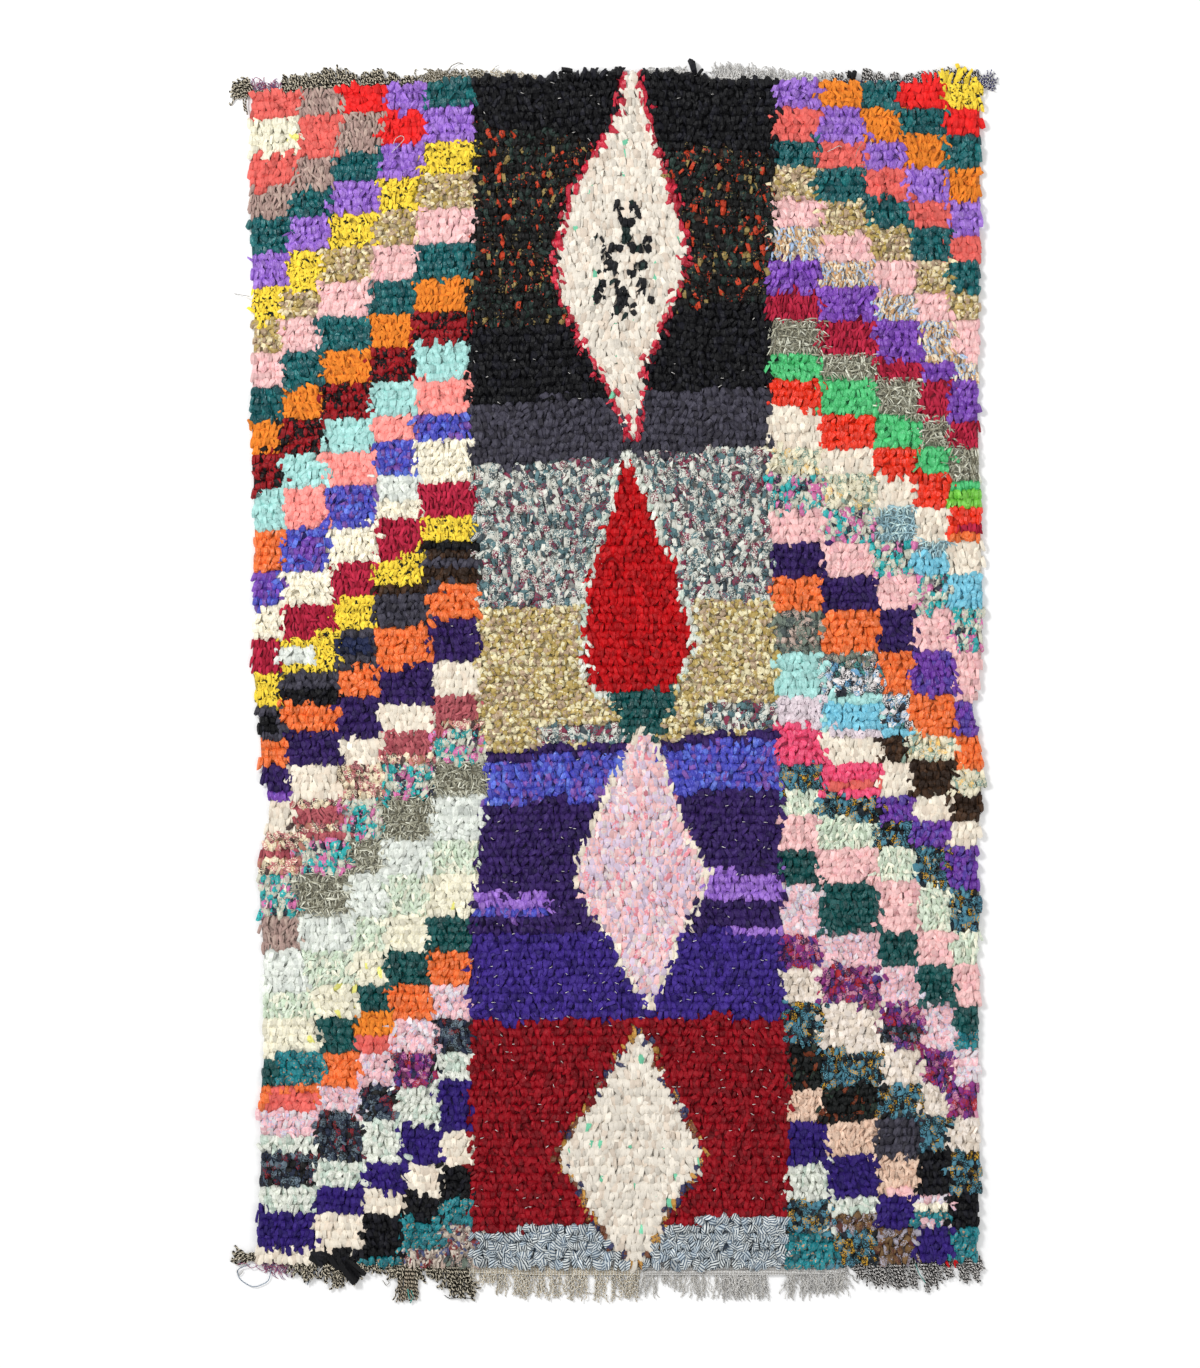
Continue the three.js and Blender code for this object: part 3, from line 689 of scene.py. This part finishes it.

# %% [markdown]
# One mesh of every tail would be too heavy to edit, so the pile is built in six lengthwise
# strips. Each tail also gets its own small cell in a map.

# %% Meshes from arrays
def new_piece(name, verts, faces, slot, stands_for, materials):
    """A mesh object in the model's frame, from vertices in millimetres and quads or triangles."""
    mesh = bpy.data.meshes.new(name)
    mesh.vertices.add(len(verts))
    moved = (verts + [*shift, 0.0]) * MM
    mesh.vertices.foreach_set("co", moved.astype(np.float32).ravel())
    corners = faces.shape[1]
    mesh.loops.add(faces.size)
    mesh.loops.foreach_set("vertex_index", faces.astype(np.int32).ravel())
    mesh.polygons.add(len(faces))
    mesh.polygons.foreach_set("loop_start", np.arange(0, faces.size, corners, dtype=np.int32))
    mesh.polygons.foreach_set("use_smooth", np.ones(len(faces), bool))
    mesh.update(calc_edges=True)
    piece = bpy.data.objects.new(name, mesh)
    bpy.context.scene.collection.objects.link(piece)
    for material in materials:
        mesh.materials.append(material)
    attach(piece, "root")
    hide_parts(*stands_for)
    return piece


def give_dye(piece, colours, name="dye", domain="POINT"):
    """The colour array as an attribute that the finishes read, with 0 for a missing fourth number."""
    full = np.zeros((colours.size // colours.shape[-1], 4), np.float32)
    full[:, :colours.shape[-1]] = colours.reshape(len(full), -1)
    layer = piece.data.attributes.new(name, "FLOAT_COLOR", domain)
    layer.data.foreach_set("color", full.ravel())


CELL_MARGIN = 0.12


def give_cells(piece, count, grid):
    """A map with one square cell for each of count equal parts of grid = (rows, columns) vertices."""
    side = int(np.ceil(np.sqrt(count)))
    cell = np.stack([np.arange(count) % side, np.arange(count) // side], -1)[:, None, None, :]
    rows, columns = (np.linspace(CELL_MARGIN, 1 - CELL_MARGIN, size) for size in grid)
    inner = np.stack(np.meshgrid(columns, rows), -1)
    spots = ((cell + inner[None]) / side).reshape(-1, 2)
    at = np.empty(len(piece.data.loops), np.int32)
    piece.data.loops.foreach_get("vertex_index", at)
    layer = piece.data.uv_layers.new(name="OFBake")
    layer.uv.foreach_set("vector", spots[at].astype(np.float32).ravel())


grid = np.arange(len(ALONG) * len(ACROSS)).reshape(len(ALONG), len(ACROSS))
quad = np.stack([grid[:-1, :-1], grid[1:, :-1], grid[1:, 1:], grid[:-1, 1:]], -1).reshape(-1, 4)
STRIPS = [("pile_left_outer", -900, -450), ("pile_left_inner", -450, -248), ("pile_middle_left", -248, 15),
          ("pile_middle_right", 15, 282), ("pile_right_inner", 282, 455), ("pile_right_outer", 455, 900)]
SOFT_KINDS = [list(CUTS).index(style) for style in ("fine", "jersey", "wiry", "wool")]
for name, start, stop in STRIPS:
    mine = (homes >= start) & (homes < stop)
    shapes, count = points[mine], int(mine.sum())
    faces = (np.arange(count)[:, None, None] * grid.size + quad).reshape(-1, 4)
    piece = new_piece(name, shapes.reshape(-1, 3), faces, "rag_pile", ["rag_pile"], CLOTH_FINISHES.values())
    piece.data.polygons.foreach_set("material_index", np.repeat(kinds[mine], len(quad)).astype(np.int32))
    piece.data.polygons.foreach_set("use_smooth", np.repeat(np.isin(kinds[mine], SOFT_KINDS), len(quad)))
    give_dye(piece, dyes[mine])
    give_dye(piece, prints[mine], "print")
    give_cells(piece, count, grid.shape)
    print(name, count, "tails", 2 * len(faces), "triangles")

# %% [markdown]
# Under the tails is the ground weave: warps, a few shots of weft between the rows, and the
# backs of the knots, which show each cloth's colour again on the underside. It is a thin
# closed sheet, so it is a grid on top, the same grid below and a wall round the edge.

# %% The ground weave
GROUND = 6.0
ACROSS_SPAN, ALONG_SPAN = (0.008, 0.992), (0.006, 0.996)  # the share of the rug that it fills
GROUND_COLUMNS = 72


def sheet_arrays(columns, rows):
    """Vertices and quads of a flat closed sheet: grid points lay(u, v) at two heights, the lower
    grid turned to face down, and a wall of quads round the rim."""
    u, v = np.meshgrid(np.linspace(*ACROSS_SPAN, columns + 1), np.linspace(*ALONG_SPAN, rows + 1))
    x, y = lay(u.ravel(), v.ravel())
    top = np.stack([x, y, np.full_like(x, GROUND)], -1)
    verts = np.concatenate([top, top * [1, 1, 0]])
    at = np.arange((columns + 1) * (rows + 1)).reshape(rows + 1, columns + 1)
    cells = np.stack([at[:-1, :-1], at[:-1, 1:], at[1:, 1:], at[1:, :-1]], -1).reshape(-1, 4)
    rim = np.concatenate([at[0, :-1], at[:-1, -1], at[-1, :0:-1], at[:0:-1, 0]])
    after, below = np.roll(rim, -1), len(top)
    wall = np.stack([rim, rim + below, after + below, after], -1)
    return verts, np.concatenate([cells, cells[:, ::-1] + below, wall])


def ground_finish():
    """Dye under rows of weft: a ridge every 5 mm along the rug, broken up by the warps, with painted shade
    between the ridges.
    """
    finish = Finish("ground weave", Sheen_Weight=0.2)
    dye, place = finish.stored("dye"), finish.add("ShaderNodeTexCoord", {}, {}, out=3)
    weft_ridges_and_shade = finish.add("ShaderNodeTexWave", {"bands_direction": "Y"},
                       {"Vector": place, "Scale": 32.0, "Distortion": 2.5, "Detail": 2.0,
                        "Detail Scale": 3.0})
    threads = finish.noise(600.0, 2.0)
    # Painted shade: the dye is darker in the grooves between the weft ridges.
    return finish.dyed(finish.shade(dye, 0.55 + 0.35 * weft_ridges_and_shade + 0.3 * threads), 0.8 + 0.15 * threads,
                       weft_ridges_and_shade + 0.3 * threads, 0.0012)


def mean_dye(colours):
    """The mean of some colours by their weights."""
    weight, *rest = np.transpose(colours)
    return np.average(to_light(np.transpose(rest)), axis=0, weights=weight)


verts, faces = sheet_arrays(GROUND_COLUMNS, KNOT_ROWS)
ground = new_piece("ground_weave", verts, faces, "rag_pile", ["rag_pile"], [ground_finish()])
middles = verts[faces].mean(1)
cloths = cloth_at(middles[:, 0], middles[:, 1])
average = np.array([(1 - share) * mean_dye(colours) + share * mean_dye(printed)
                    for _, share, colours, printed in CLOTHS.values()])
# Painted shade: the ground is painted a little darker on top, where the tails shade it, and darker still on
# its underside and rim.
shade = np.where(middles[:, 2] > 0.5 * GROUND, 0.95, 0.8)[:, None]
give_dye(ground, np.repeat(average[cloths] * shade, 4, axis=0), domain="CORNER")
print("ground weave", len(faces), "faces")

# %% [markdown]
# The warps hang out of the flat-woven heading as a fringe, in four yarns and in ragged clumps.
# Cut warps spring back into curls and mat together. Curves would do, but they are slow in such
# numbers, so each fringe is one mesh of thin tubes along curling paths, lying on one another.

# %% The yarns of the fringe
YARN_PARTS = "thick twist radius curl gap spread lock gather even plies".split()
YARNS = {yarn: dict(zip(YARN_PARTS, row)) for yarn, row in {
    # thickness, length of a ply's turn, radius and length of a curl, spacing, bearing spread, width of
    # a lock, share by which its yarns draw together at the tip, its least reach, colours of the plies
    "brown marl": (4.4, 9, 3, 12, 2.9, 15, 26, 0.5, 0.7, [(26, 22, 15), (222, 212, 190)]),
    "lank marl": (3.2, 7.5, 1.6, 17, 2, 4, 20, 0.25, 0.82, [(44, 38, 28), (214, 200, 178)]),
    "olive marl": (2.7, 6, 4.6, 17, 2.6, 22, 17, 0.3, 0.82, [(96, 88, 64), (238, 230, 214)]),
    "beige": (2.5, 6.5, 2.8, 12, 3.7, 8, 24, 0.35, 0.93, [(214, 200, 174), (255, 253, 246)]),
    "light grey": (2.2, 6, 3.4, 13, 3.2, 22, 18, 0.2, 0.82, [(220, 217, 212), (254, 253, 251)]),
    "slack grey": (1.8, 6, 1.8, 18, 4.2, 9, 22, 0.4, 0.92, [(214, 210, 202), (254, 252, 248)]),
    "black marl": (3.4, 7.5, 2.2, 11, 3.3, 12, 26, 0.65, 0.7, [(16, 14, 16), (236, 232, 228)]),
    "navy marl": (2.7, 5.5, 1.8, 8, 1.8, 20, 20, 0.2, 0.82, [(34, 34, 108), (236, 234, 230)]),
    "rose": (1.3, 16, 4, 17, 2.4, 26, 16, 0.4, 0.82, [(204, 112, 134), (150, 122, 182)]),
}.items()}
FRINGES = {  # end and yarn: rows of from, to, reach at each, lean in degrees, yarn where it is another
    "top brown marl": [
        (-656, -640, 30, 40, -60), (-652, -632, 34, 38, -24), (-640, -588, 26, 32, 6, "rose"),
        (-588, -550, 34, 30, 2), (-548, -522, 36, 34, -4), (-518, -466, 40, 42, 4),
        (-466, -400, 35, 33, 0), (-400, -352, 26, 18, 2), (-344, -232, 28, 24, 6, "olive marl")],
    "top beige": [
        (-232, -175, 20, 17, 4), (-175, -136, 15, 6, 10)],
    "top light grey": [
        (48, 120, 11, 15, 0), (168, 240, 34, 36, 3), (240, 290, 32, 28, 3), (290, 378, 24, 22, 3)],
    "top black marl": [
        (376, 420, 22, 22, 2), (430, 476, 26, 30, 4), (476, 545, 28, 28, 4), (545, 590, 34, 42, 4),
        (590, 636, 32, 34, 12), (626, 646, 30, 30, 50, "navy marl"), (638, 650, 26, 20, 84, "navy marl")],
    "bottom brown marl": [
        (-648, -630, 46, 30, -72), (-634, -606, 14, 16, 0, "rose"), (-610, -574, 36, 44, 6, "rose"),
        (-588, -556, 18, 30, 8), (-556, -516, 60, 56, -10), (-518, -474, 60, 56, 2),
        (-482, -404, 22, 22, 4), (-404, -384, 24, 30, 2), (-380, -344, 66, 68, 2, "lank marl"),
        (-384, -366, 30, 36, -14), (-352, -342, 30, 30, 10), (-334, -300, 26, 36, 8),
        (-304, -258, 56, 60, 2)],
    "bottom beige": [
        (-260, -246, 50, 46, -4), (-244, -208, 30, 30, 0), (-208, -96, 50, 53, 2), (-90, -46, 52, 53, 0),
        (-38, 44, 54, 55, 0)],
    "bottom light grey": [
        (44, 76, 52, 54, 0, "slack grey"), (76, 128, 30, 48, 6, "slack grey"),
        (128, 186, 54, 56, 4, "slack grey"), (186, 264, 56, 55, -4), (186, 264, 56, 55, 10, "slack grey"),
        (264, 302, 8, 8, 0, "slack grey"), (302, 404, 56, 52, -2, "slack grey"), (302, 404, 48, 46, 4)],
    "bottom black marl": [
        (408, 434, 24, 40, 20), (434, 476, 48, 62, 24), (476, 524, 66, 66, 24), (524, 564, 56, 58, 26),
        (564, 584, 34, 34, 26), (584, 628, 56, 48, 28), (626, 640, 32, 24, 30)],
}
STEPS = 18


def curling_paths(roots, bearing, length, pull, kind, height):
    """Points (yarn, step, xyz): a run at its bearing from +Y towards +X, with a circle added that
    turns once in each curl's length and grows from the root, a slow bend to one side, and a pull
    across the rug that grows along the run."""
    s, n = np.linspace(0, 1, STEPS)[None, :], len(roots)
    some = lambda low, high: chance.uniform(low, high, (n, 1))
    run = length[:, None] * s
    turns = run / (kind["curl"] * some(0.8, 1.3))
    angle = TURN * turns * np.where(some(0, 1) < 0.5, 1, -1) + some(0, 6.3)
    radius = kind["radius"] * some(0.5, 1.2) * np.clip(4 * s, 0, 1)
    out = run + radius * np.cos(angle)
    side = radius * np.sin(angle) + some(-0.2, 0.2) * length[:, None] * s ** 2
    b = np.radians(bearing)[:, None]
    z = height[:, None] + 0.35 * radius * np.sin(angle + some(0, 6.3))
    x = roots[:, :1] + np.sin(b) * out + np.cos(b) * side + pull[:, None] * s
    y = roots[:, 1:2] + np.cos(b) * out - np.sin(b) * side
    return np.stack([x, y, np.maximum(z, 0.5 * kind["thick"])], -1)


def smooth_line(points, steps):
    """A curve of that many steps through a few points: even steps along the chords, then averaged
    with their neighbours three times over."""
    far = np.concatenate([[0], np.cumsum(np.linalg.norm(np.diff(points, axis=0), axis=1))])
    line = np.stack([np.interp(np.linspace(0, far[-1], steps), far, axis) for axis in points.T], -1)
    for _ in range(3):
        line[1:-1] = 0.25 * line[:-2] + 0.5 * line[1:-1] + 0.25 * line[2:]
    return line


def tube_arrays(paths, thick):
    """Vertices and triangles of three-sided tubes: corners on a circle square to the path's way,
    two triangles from each side to the next step, and one that closes each end."""
    way = np.gradient(paths, axis=1)
    flat = np.stack([-way[..., 1], way[..., 0], 0 * way[..., 0]], -1)
    flat /= np.linalg.norm(flat, axis=-1, keepdims=True) + 1e-9
    angles = np.radians([-30.0, 90.0, 210.0])
    up = np.array([0.0, 0.0, 1.0])
    corners = np.stack([paths + 0.5 * thick * (np.cos(a) * flat + np.sin(a) * up) for a in angles], 2)
    n, steps = paths.shape[:2]
    at = np.arange(n * steps * 3).reshape(n, steps, 3)
    on = np.roll(at, -1, axis=2)
    near, far, far_on, near_on = at[:, :-1], at[:, 1:], on[:, 1:], on[:, :-1]
    halves = (near, near_on, far_on), (near, far_on, far)
    walls = [np.stack(half, -1).reshape(-1, 3) for half in halves]
    return corners.reshape(-1, 3), np.concatenate([*walls, at[:, 0, ::-1], at[:, -1]])


def twist_share(paths, twist):
    """How far round the twist each tube corner is: length so far over a ply's turn, plus its share
    of the way round."""
    step = np.linalg.norm(np.diff(paths, axis=1), axis=-1)
    far = np.concatenate([np.zeros((len(paths), 1)), np.cumsum(step, 1)], 1) / twist
    return far[..., None] + np.arange(3) / 3


def ply_colours(n, plies, steps):
    """The two plies' colours at each tube corner, a little lighter or darker yarn by yarn."""
    tone = np.clip(chance.normal(1, 0.1, (n, 1, 1)), 0.6, 1.4) * np.ones((1, steps * 3, 1))
    return [(to_light(ply) * tone).reshape(-1, 3) for ply in plies]


def end_at(x, side):
    """y where the heading starts at x, at the top end for side 1 and at the bottom for -1."""
    return np.interp(x, ENDS[:, 0], ENDS[:, 1 if side > 0 else 2])


def slot_of(node):
    """A fringe's slot is named for its yarn, and the pile's for itself."""
    return node.split("_", 2)[2] + "_yarn" if node.startswith("fringe") else node


print(len(YARNS), "yarns in", sum(map(len, FRINGES.values())), "clumps")

# %% [markdown]
# Two plies of different colour twisted together give the speckled yarn. The tubes carry both
# colours and the distance along the yarn, and a sine of that distance picks the ply, so that
# the stripes stay sharp however few steps a tube has.

# %% The yarn finish
def yarn_finish():
    """Dye where the sine of the twist is low, the second ply's colour where it is high, and the
    same sine as relief."""
    finish = Finish("twisted yarn", Sheen_Weight=0.02, Specular_IOR_Level=0.15)
    first, second = finish.stored("dye"), finish.stored("print")
    wave = finish.sine(finish.stored("twist", out=2))
    hairs = finish.noise(1500.0, 2.0)
    colour = finish.mix(wave * STRIPE_EDGE - STRIPE_SHIFT, first, second)
    return finish.dyed(finish.shade(colour, 0.8 + 0.35 * hairs), 0.8 + 0.15 * hairs, wave + hairs, 0.0006)


YARN_FINISH = yarn_finish()


class Skein:
    """Tubes of one piece, gathered as arrays: vertices, faces, both plies' colours and the twist."""

    def __init__(self):
        self.verts, self.faces, self.first, self.second, self.twist = [], [], [], [], []
        self.total = 0

    def lay_in(self, paths, thick, plies, twist):
        """Adds a tube of that thickness along each path, with its plies twisted together."""
        verts, faces = tube_arrays(paths, thick)
        first, second = ply_colours(len(paths), plies, paths.shape[1])
        self.verts.append(verts)
        self.faces.append(faces + self.total)
        self.first.append(first)
        self.second.append(second)
        self.twist.append(twist_share(paths, twist).ravel())
        self.total += len(verts)

    def piece(self, name, node):
        """One piece of all the tubes, which stands for that node."""
        verts, faces = np.concatenate(self.verts), np.concatenate(self.faces)
        made = new_piece(name, verts, faces, slot_of(node), [node], [YARN_FINISH])
        give_dye(made, np.concatenate(self.first))
        give_dye(made, np.concatenate(self.second), "print")
        layer = made.data.attributes.new("twist", "FLOAT", "POINT")
        layer.data.foreach_set("value", np.concatenate(self.twist).astype(np.float32))
        print(name, len(made.data.polygons), "triangles")
        return made


print("yarn finish ready")

# %% [markdown]
# Each clump is a row of roots along the end of the rug, and its yarns mat into locks that draw
# together towards the tip. A few rows of twine, woven across the warps, make the heading that
# holds them, and it shows at the bottom, where the pile lies away from it.

# %% The fringes and their headings
ROOT_INSET = 4.0  # how far the yarns start inside the heading
LOCK_DRIFT, LOCK_LEAN = 0.12, 6  # of a lock's width, and in degrees
LENGTHS, LENGTH_LIMITS = (0.90, 0.12), (0.3, 1.03)  # mean and spread, as shares of the lock's reach


def lay_clump(skein, side, start, stop, near, far, lean, kind):
    """Yarns of one clump: roots at random, each in the lock whose middle is nearest. A lock has its
    own lean and reach, and its yarns differ a little from it. They lie three deep."""
    wide = stop - start
    count = int(wide / kind["gap"] * 2)
    locks = max(1, round(wide / kind["lock"]))
    drift = chance.uniform(-LOCK_DRIFT, LOCK_DRIFT, locks) * kind["lock"]
    middles = start + wide * (np.arange(locks) + 0.5) / locks + drift
    x = chance.uniform(start, stop, count)
    lock = np.abs(x[:, None] - middles).argmin(1)
    reach = np.interp(x, [start, stop], [near, far]) * chance.uniform(kind["even"], 1.0, locks)[lock]
    roots = np.stack([x, end_at(x, side) - side * ROOT_INSET], -1)
    turn = lean + chance.normal(0, LOCK_LEAN, locks)[lock] + chance.normal(0, kind["spread"], count)
    length = reach * np.clip(chance.normal(*LENGTHS, count), *LENGTH_LIMITS)
    height = kind["thick"] * (0.5 + 0.7 * chance.integers(0, 3, count))
    pull = kind["gather"] * (middles[lock] - x)
    paths = curling_paths(roots, turn if side > 0 else 180 - turn, length, pull, kind, height)
    skein.lay_in(paths, kind["thick"], kind["plies"], kind["twist"])


TWINE, TWINE_HEIGHT, TWINE_TURN, TWINE_STEPS = 3.2, 4.6, 5.0, 60
TWINE_ROWS = {"top": (0.0, 2.6), "bottom": (-9.6, -7.0, -4.4, -1.8, 0.8, 3.4)}  # outwards
TWINE_IN = 6, 3  # how far inside the clumps the twine starts and stops
for name, clumps in FRINGES.items():
    end, own_yarn = name.split(" ", 1)
    side = 1 if end == "top" else -1
    skein = Skein()
    for *place_and_lean, yarn in ((*clump, own_yarn)[:6] for clump in clumps):
        lay_clump(skein, side, *place_and_lean, YARNS[yarn])
    x = np.linspace(clumps[0][0] + TWINE_IN[0], clumps[-1][1] - TWINE_IN[1], TWINE_STEPS)
    twine = np.stack([x, end_at(x, side), np.full(TWINE_STEPS, TWINE_HEIGHT)], -1)
    rows = np.stack([twine + [0, side * off, 0] for off in TWINE_ROWS[end]])
    skein.lay_in(rows, TWINE, YARNS[yarn]["plies"], TWINE_TURN)
    node = "fringe_" + name.replace(" ", "_")
    skein.piece(node + "_yarns", node)

# %% [markdown]
# A rug this old sheds threads: warp ends show between the rows as short pale dashes, and loose
# yarns curl over the pile and past its edges. Each long one is a curve through a few points.

# %% Stray threads
PALE = [(232, 228, 222), (250, 248, 244)]
GREY = [(150, 146, 140), (206, 202, 196)]
BLUE = [(96, 116, 140), (176, 190, 204)]
INK = [(30, 28, 28), (70, 66, 62)]
SEA = [(70, 170, 160), (120, 200, 190)]
BROWN, ROSE = YARNS["brown marl"]["plies"], YARNS["rose"]["plies"]
STRAYS = {  # node it lies with: colours, thickness, and x, y, z of points on the curve
    "rag_pile": [
        (PALE, 1.5, "-389 920 18, -385 931 19, -373 937 20, -368 930 20, -376 922 19, -392 906 17"),
        (PALE, 1.6, "369 908 17, 380 913 20, 389 918 20, 394 916 18"),
        (PALE, 1.4, "444 919 17, 446 924 20, 443 928 18"),
        (GREY, 1.3, "418 899 17, 420 908 20, 426 918 20, 430 923 18"),
        (GREY, 1.3, "422 880 17, 428 886 20, 438 883 20, 434 873 18, 424 876 17"),
        (GREY, 1.3, "-640 656 12, -654 659 6, -668 662 2")],
    "fringe_top_brown_marl": [
        (BROWN, 3, "-640 1010 5, -652 1020 8, -664 1018 6, -670 1010 3, -662 1004 2"),
        (BROWN, 3, "-645 1008 5, -658 1012 6, -668 1002 4, -674 990 2, -677 996 2"),
        (BROWN, 3.2, "-640 1022 5, -646 1008 7, -648 990 8, -644 974 8"),
        (BROWN, 3.2, "-648 1026 5, -652 1010 6, -651 992 6, -649 980 6"),
        (ROSE, 1.6, "-640 1015 7, -632 1041 6, -620 1036 6, -610 1012 8"),
        (ROSE, 1.4, "-636 1008 9, -626 1030 7, -606 1030 6, -596 1008 9"),
        (BROWN, 1.8, "-300 1042 6, -288 1060 5, -276 1066 4, -268 1064 3")],
    "fringe_top_beige": [
        (PALE, 1.6, "-214 1042 6, -212 1058 5, -204 1062 4")],
    "fringe_bottom_brown_marl": [
        (BLUE, 1.8, "-640 -1036 6, -664 -1044 5, -660 -1062 3, -634 -1078 3, -606 -1066 3, -604 -1046 5"),
        (GREY, 1.4, "-655 -1040 5, -664 -1048 4, -659 -1056 3, -652 -1048 3"),
        (ROSE, 1.5, "-662 -1036 5, -648 -1032 8, -638 -1044 5, -620 -1034 6, -608 -1046 4"),
        (ROSE, 1.5, "-628 -1026 9, -630 -1040 6, -618 -1048 4, -600 -1036 6"),
        (BLUE, 2.2, "-514 -1026 9, -522 -1044 8, -534 -1058 7, -540 -1072 5"),
        (PALE, 1.8, "-506 -1026 9, -514 -1042 8, -528 -1058 7, -536 -1068 5"),
        (INK, 1.6, "-300 -1090 4, -292 -1096 3, -270 -1094 3, -252 -1096 3"),
        (SEA, 2.4, "-364 -1078 9, -362 -1092 8, -358 -1102 5"),
        (SEA, 2.2, "-358 -1080 9, -354 -1092 7, -360 -1104 4"),
        (GREY, 1.5, "-408 -1064 4, -402 -1074 3, -396 -1068 3, -402 -1062 3")],
    "fringe_bottom_black_marl": [
        (SEA, 2, "523 -1034 8, 530 -1052 7, 541 -1068 5"),
        (PALE, 1.6, "441 -1010 14, 452 -1032 8, 472 -1050 6")],
}
DASHED = ("violet", "crimson field", "purple", "black")
DASHES, DASH_REACH = 260, 300  # how many short warp ends, and how far from the middle
DASHES_ABOVE = 0.35  # the share of them kept in the upper half
DASH_BELOW, DASH_HEIGHT = 7.5, 14.5  # how far a warp end lies below its knot, and above the floor
DASH_THICK, DASH_TURN, DASH_BOW = 1.5, 5.0, 0.12  # the bow lowers its two tips
STRAY_STEPS, STRAY_TURN = 24, 6.0
dashes = np.flatnonzero(np.isin(knot_cloth, [ID[name] for name in DASHED]) & (np.abs(knot_x) < DASH_REACH))
dashes = chance.choice(dashes, DASHES, replace=False)
dashes = dashes[chance.random(dashes.size) < np.where(knot_y[dashes] < 0, 1.0, DASHES_ABOVE)]
lean = chance.normal(0, 0.5, dashes.size)[:, None]
s = np.linspace(-1, 1, 4)[None, :] * chance.uniform(2.0, 4.0, (dashes.size, 1))
x, y = knot_x[dashes, None] + s * np.cos(lean), knot_y[dashes, None] - DASH_BELOW + s * np.sin(lean)
warp_ends = np.stack([x, y, DASH_HEIGHT - DASH_BOW * s ** 2], -1)
for node, threads in STRAYS.items():
    skein = Skein()
    if node == "rag_pile":
        skein.lay_in(warp_ends, DASH_THICK, PALE, DASH_TURN)
    for plies, thick, curve in threads:
        skein.lay_in(smooth_line(table(curve), STRAY_STEPS)[None], thick, plies, STRAY_TURN)
    skein.piece("stray_threads_" + node, node)

# %% [markdown]
# The cloth lies on the floor, and the pile and the fringes go with it.

# %% [markdown]
# A rug is shown from straight above, in even light that still has a side it comes from, so
# that the tufts model themselves. The floor is plain and pale.

# %% Floor, light and camera
FLOOR_SIZE, FLOOR_LEVEL, FLOOR_TONE, SKY_LIGHT = 12.0, -0.0005, 0.95, 0.70
bpy.ops.mesh.primitive_plane_add(size=FLOOR_SIZE, location=(0, 0, FLOOR_LEVEL))
floor = bpy.context.object
floor.name = "floor"
paper = Finish("pale floor", Roughness=0.9)
paper.feed(paper.shader, {"Base Color": (FLOOR_TONE, FLOOR_TONE, FLOOR_TONE, 1.0)})
floor.data.materials.append(paper.material)

world = bpy.data.worlds.new("studio")
bpy.context.scene.world = world
world.use_nodes = True
sky = world.node_tree.nodes["Background"]
sky.inputs["Color"].default_value = (1, 1, 1, 1)
sky.inputs["Strength"].default_value = SKY_LIGHT


def soft_box(name, place, size, watts):
    """A square area light that looks at the middle of the rug."""
    lamp = bpy.data.lights.new(name, "AREA")
    lamp.energy, lamp.size = watts, size
    holder = bpy.data.objects.new(name, lamp)
    holder.location = place
    holder.rotation_euler = (-holder.location).to_track_quat("-Z", "Y").to_euler()
    bpy.context.scene.collection.objects.link(holder)


soft_box("key light", (-3.2, 2.8, 4.2), size=1.2, watts=200)
soft_box("fill light", (3.4, -1.5, 4.5), size=3.0, watts=50)

HEIGHT, FRAME_LENGTH = 6.0, 2.394  # of the camera, and of what it sees on the floor
SENSOR = 36
LOOK_AT = (-28, -21)  # on the loom
camera_data = bpy.data.cameras.new("overhead")
camera_data.sensor_width = SENSOR
camera_data.lens = SENSOR * HEIGHT / FRAME_LENGTH
camera = bpy.data.objects.new("overhead", camera_data)
camera.location = (*(shift + LOOK_AT) * MM, HEIGHT)
bpy.context.scene.collection.objects.link(camera)
bpy.context.scene.camera = camera
bpy.context.scene.view_settings.view_transform = "Standard"
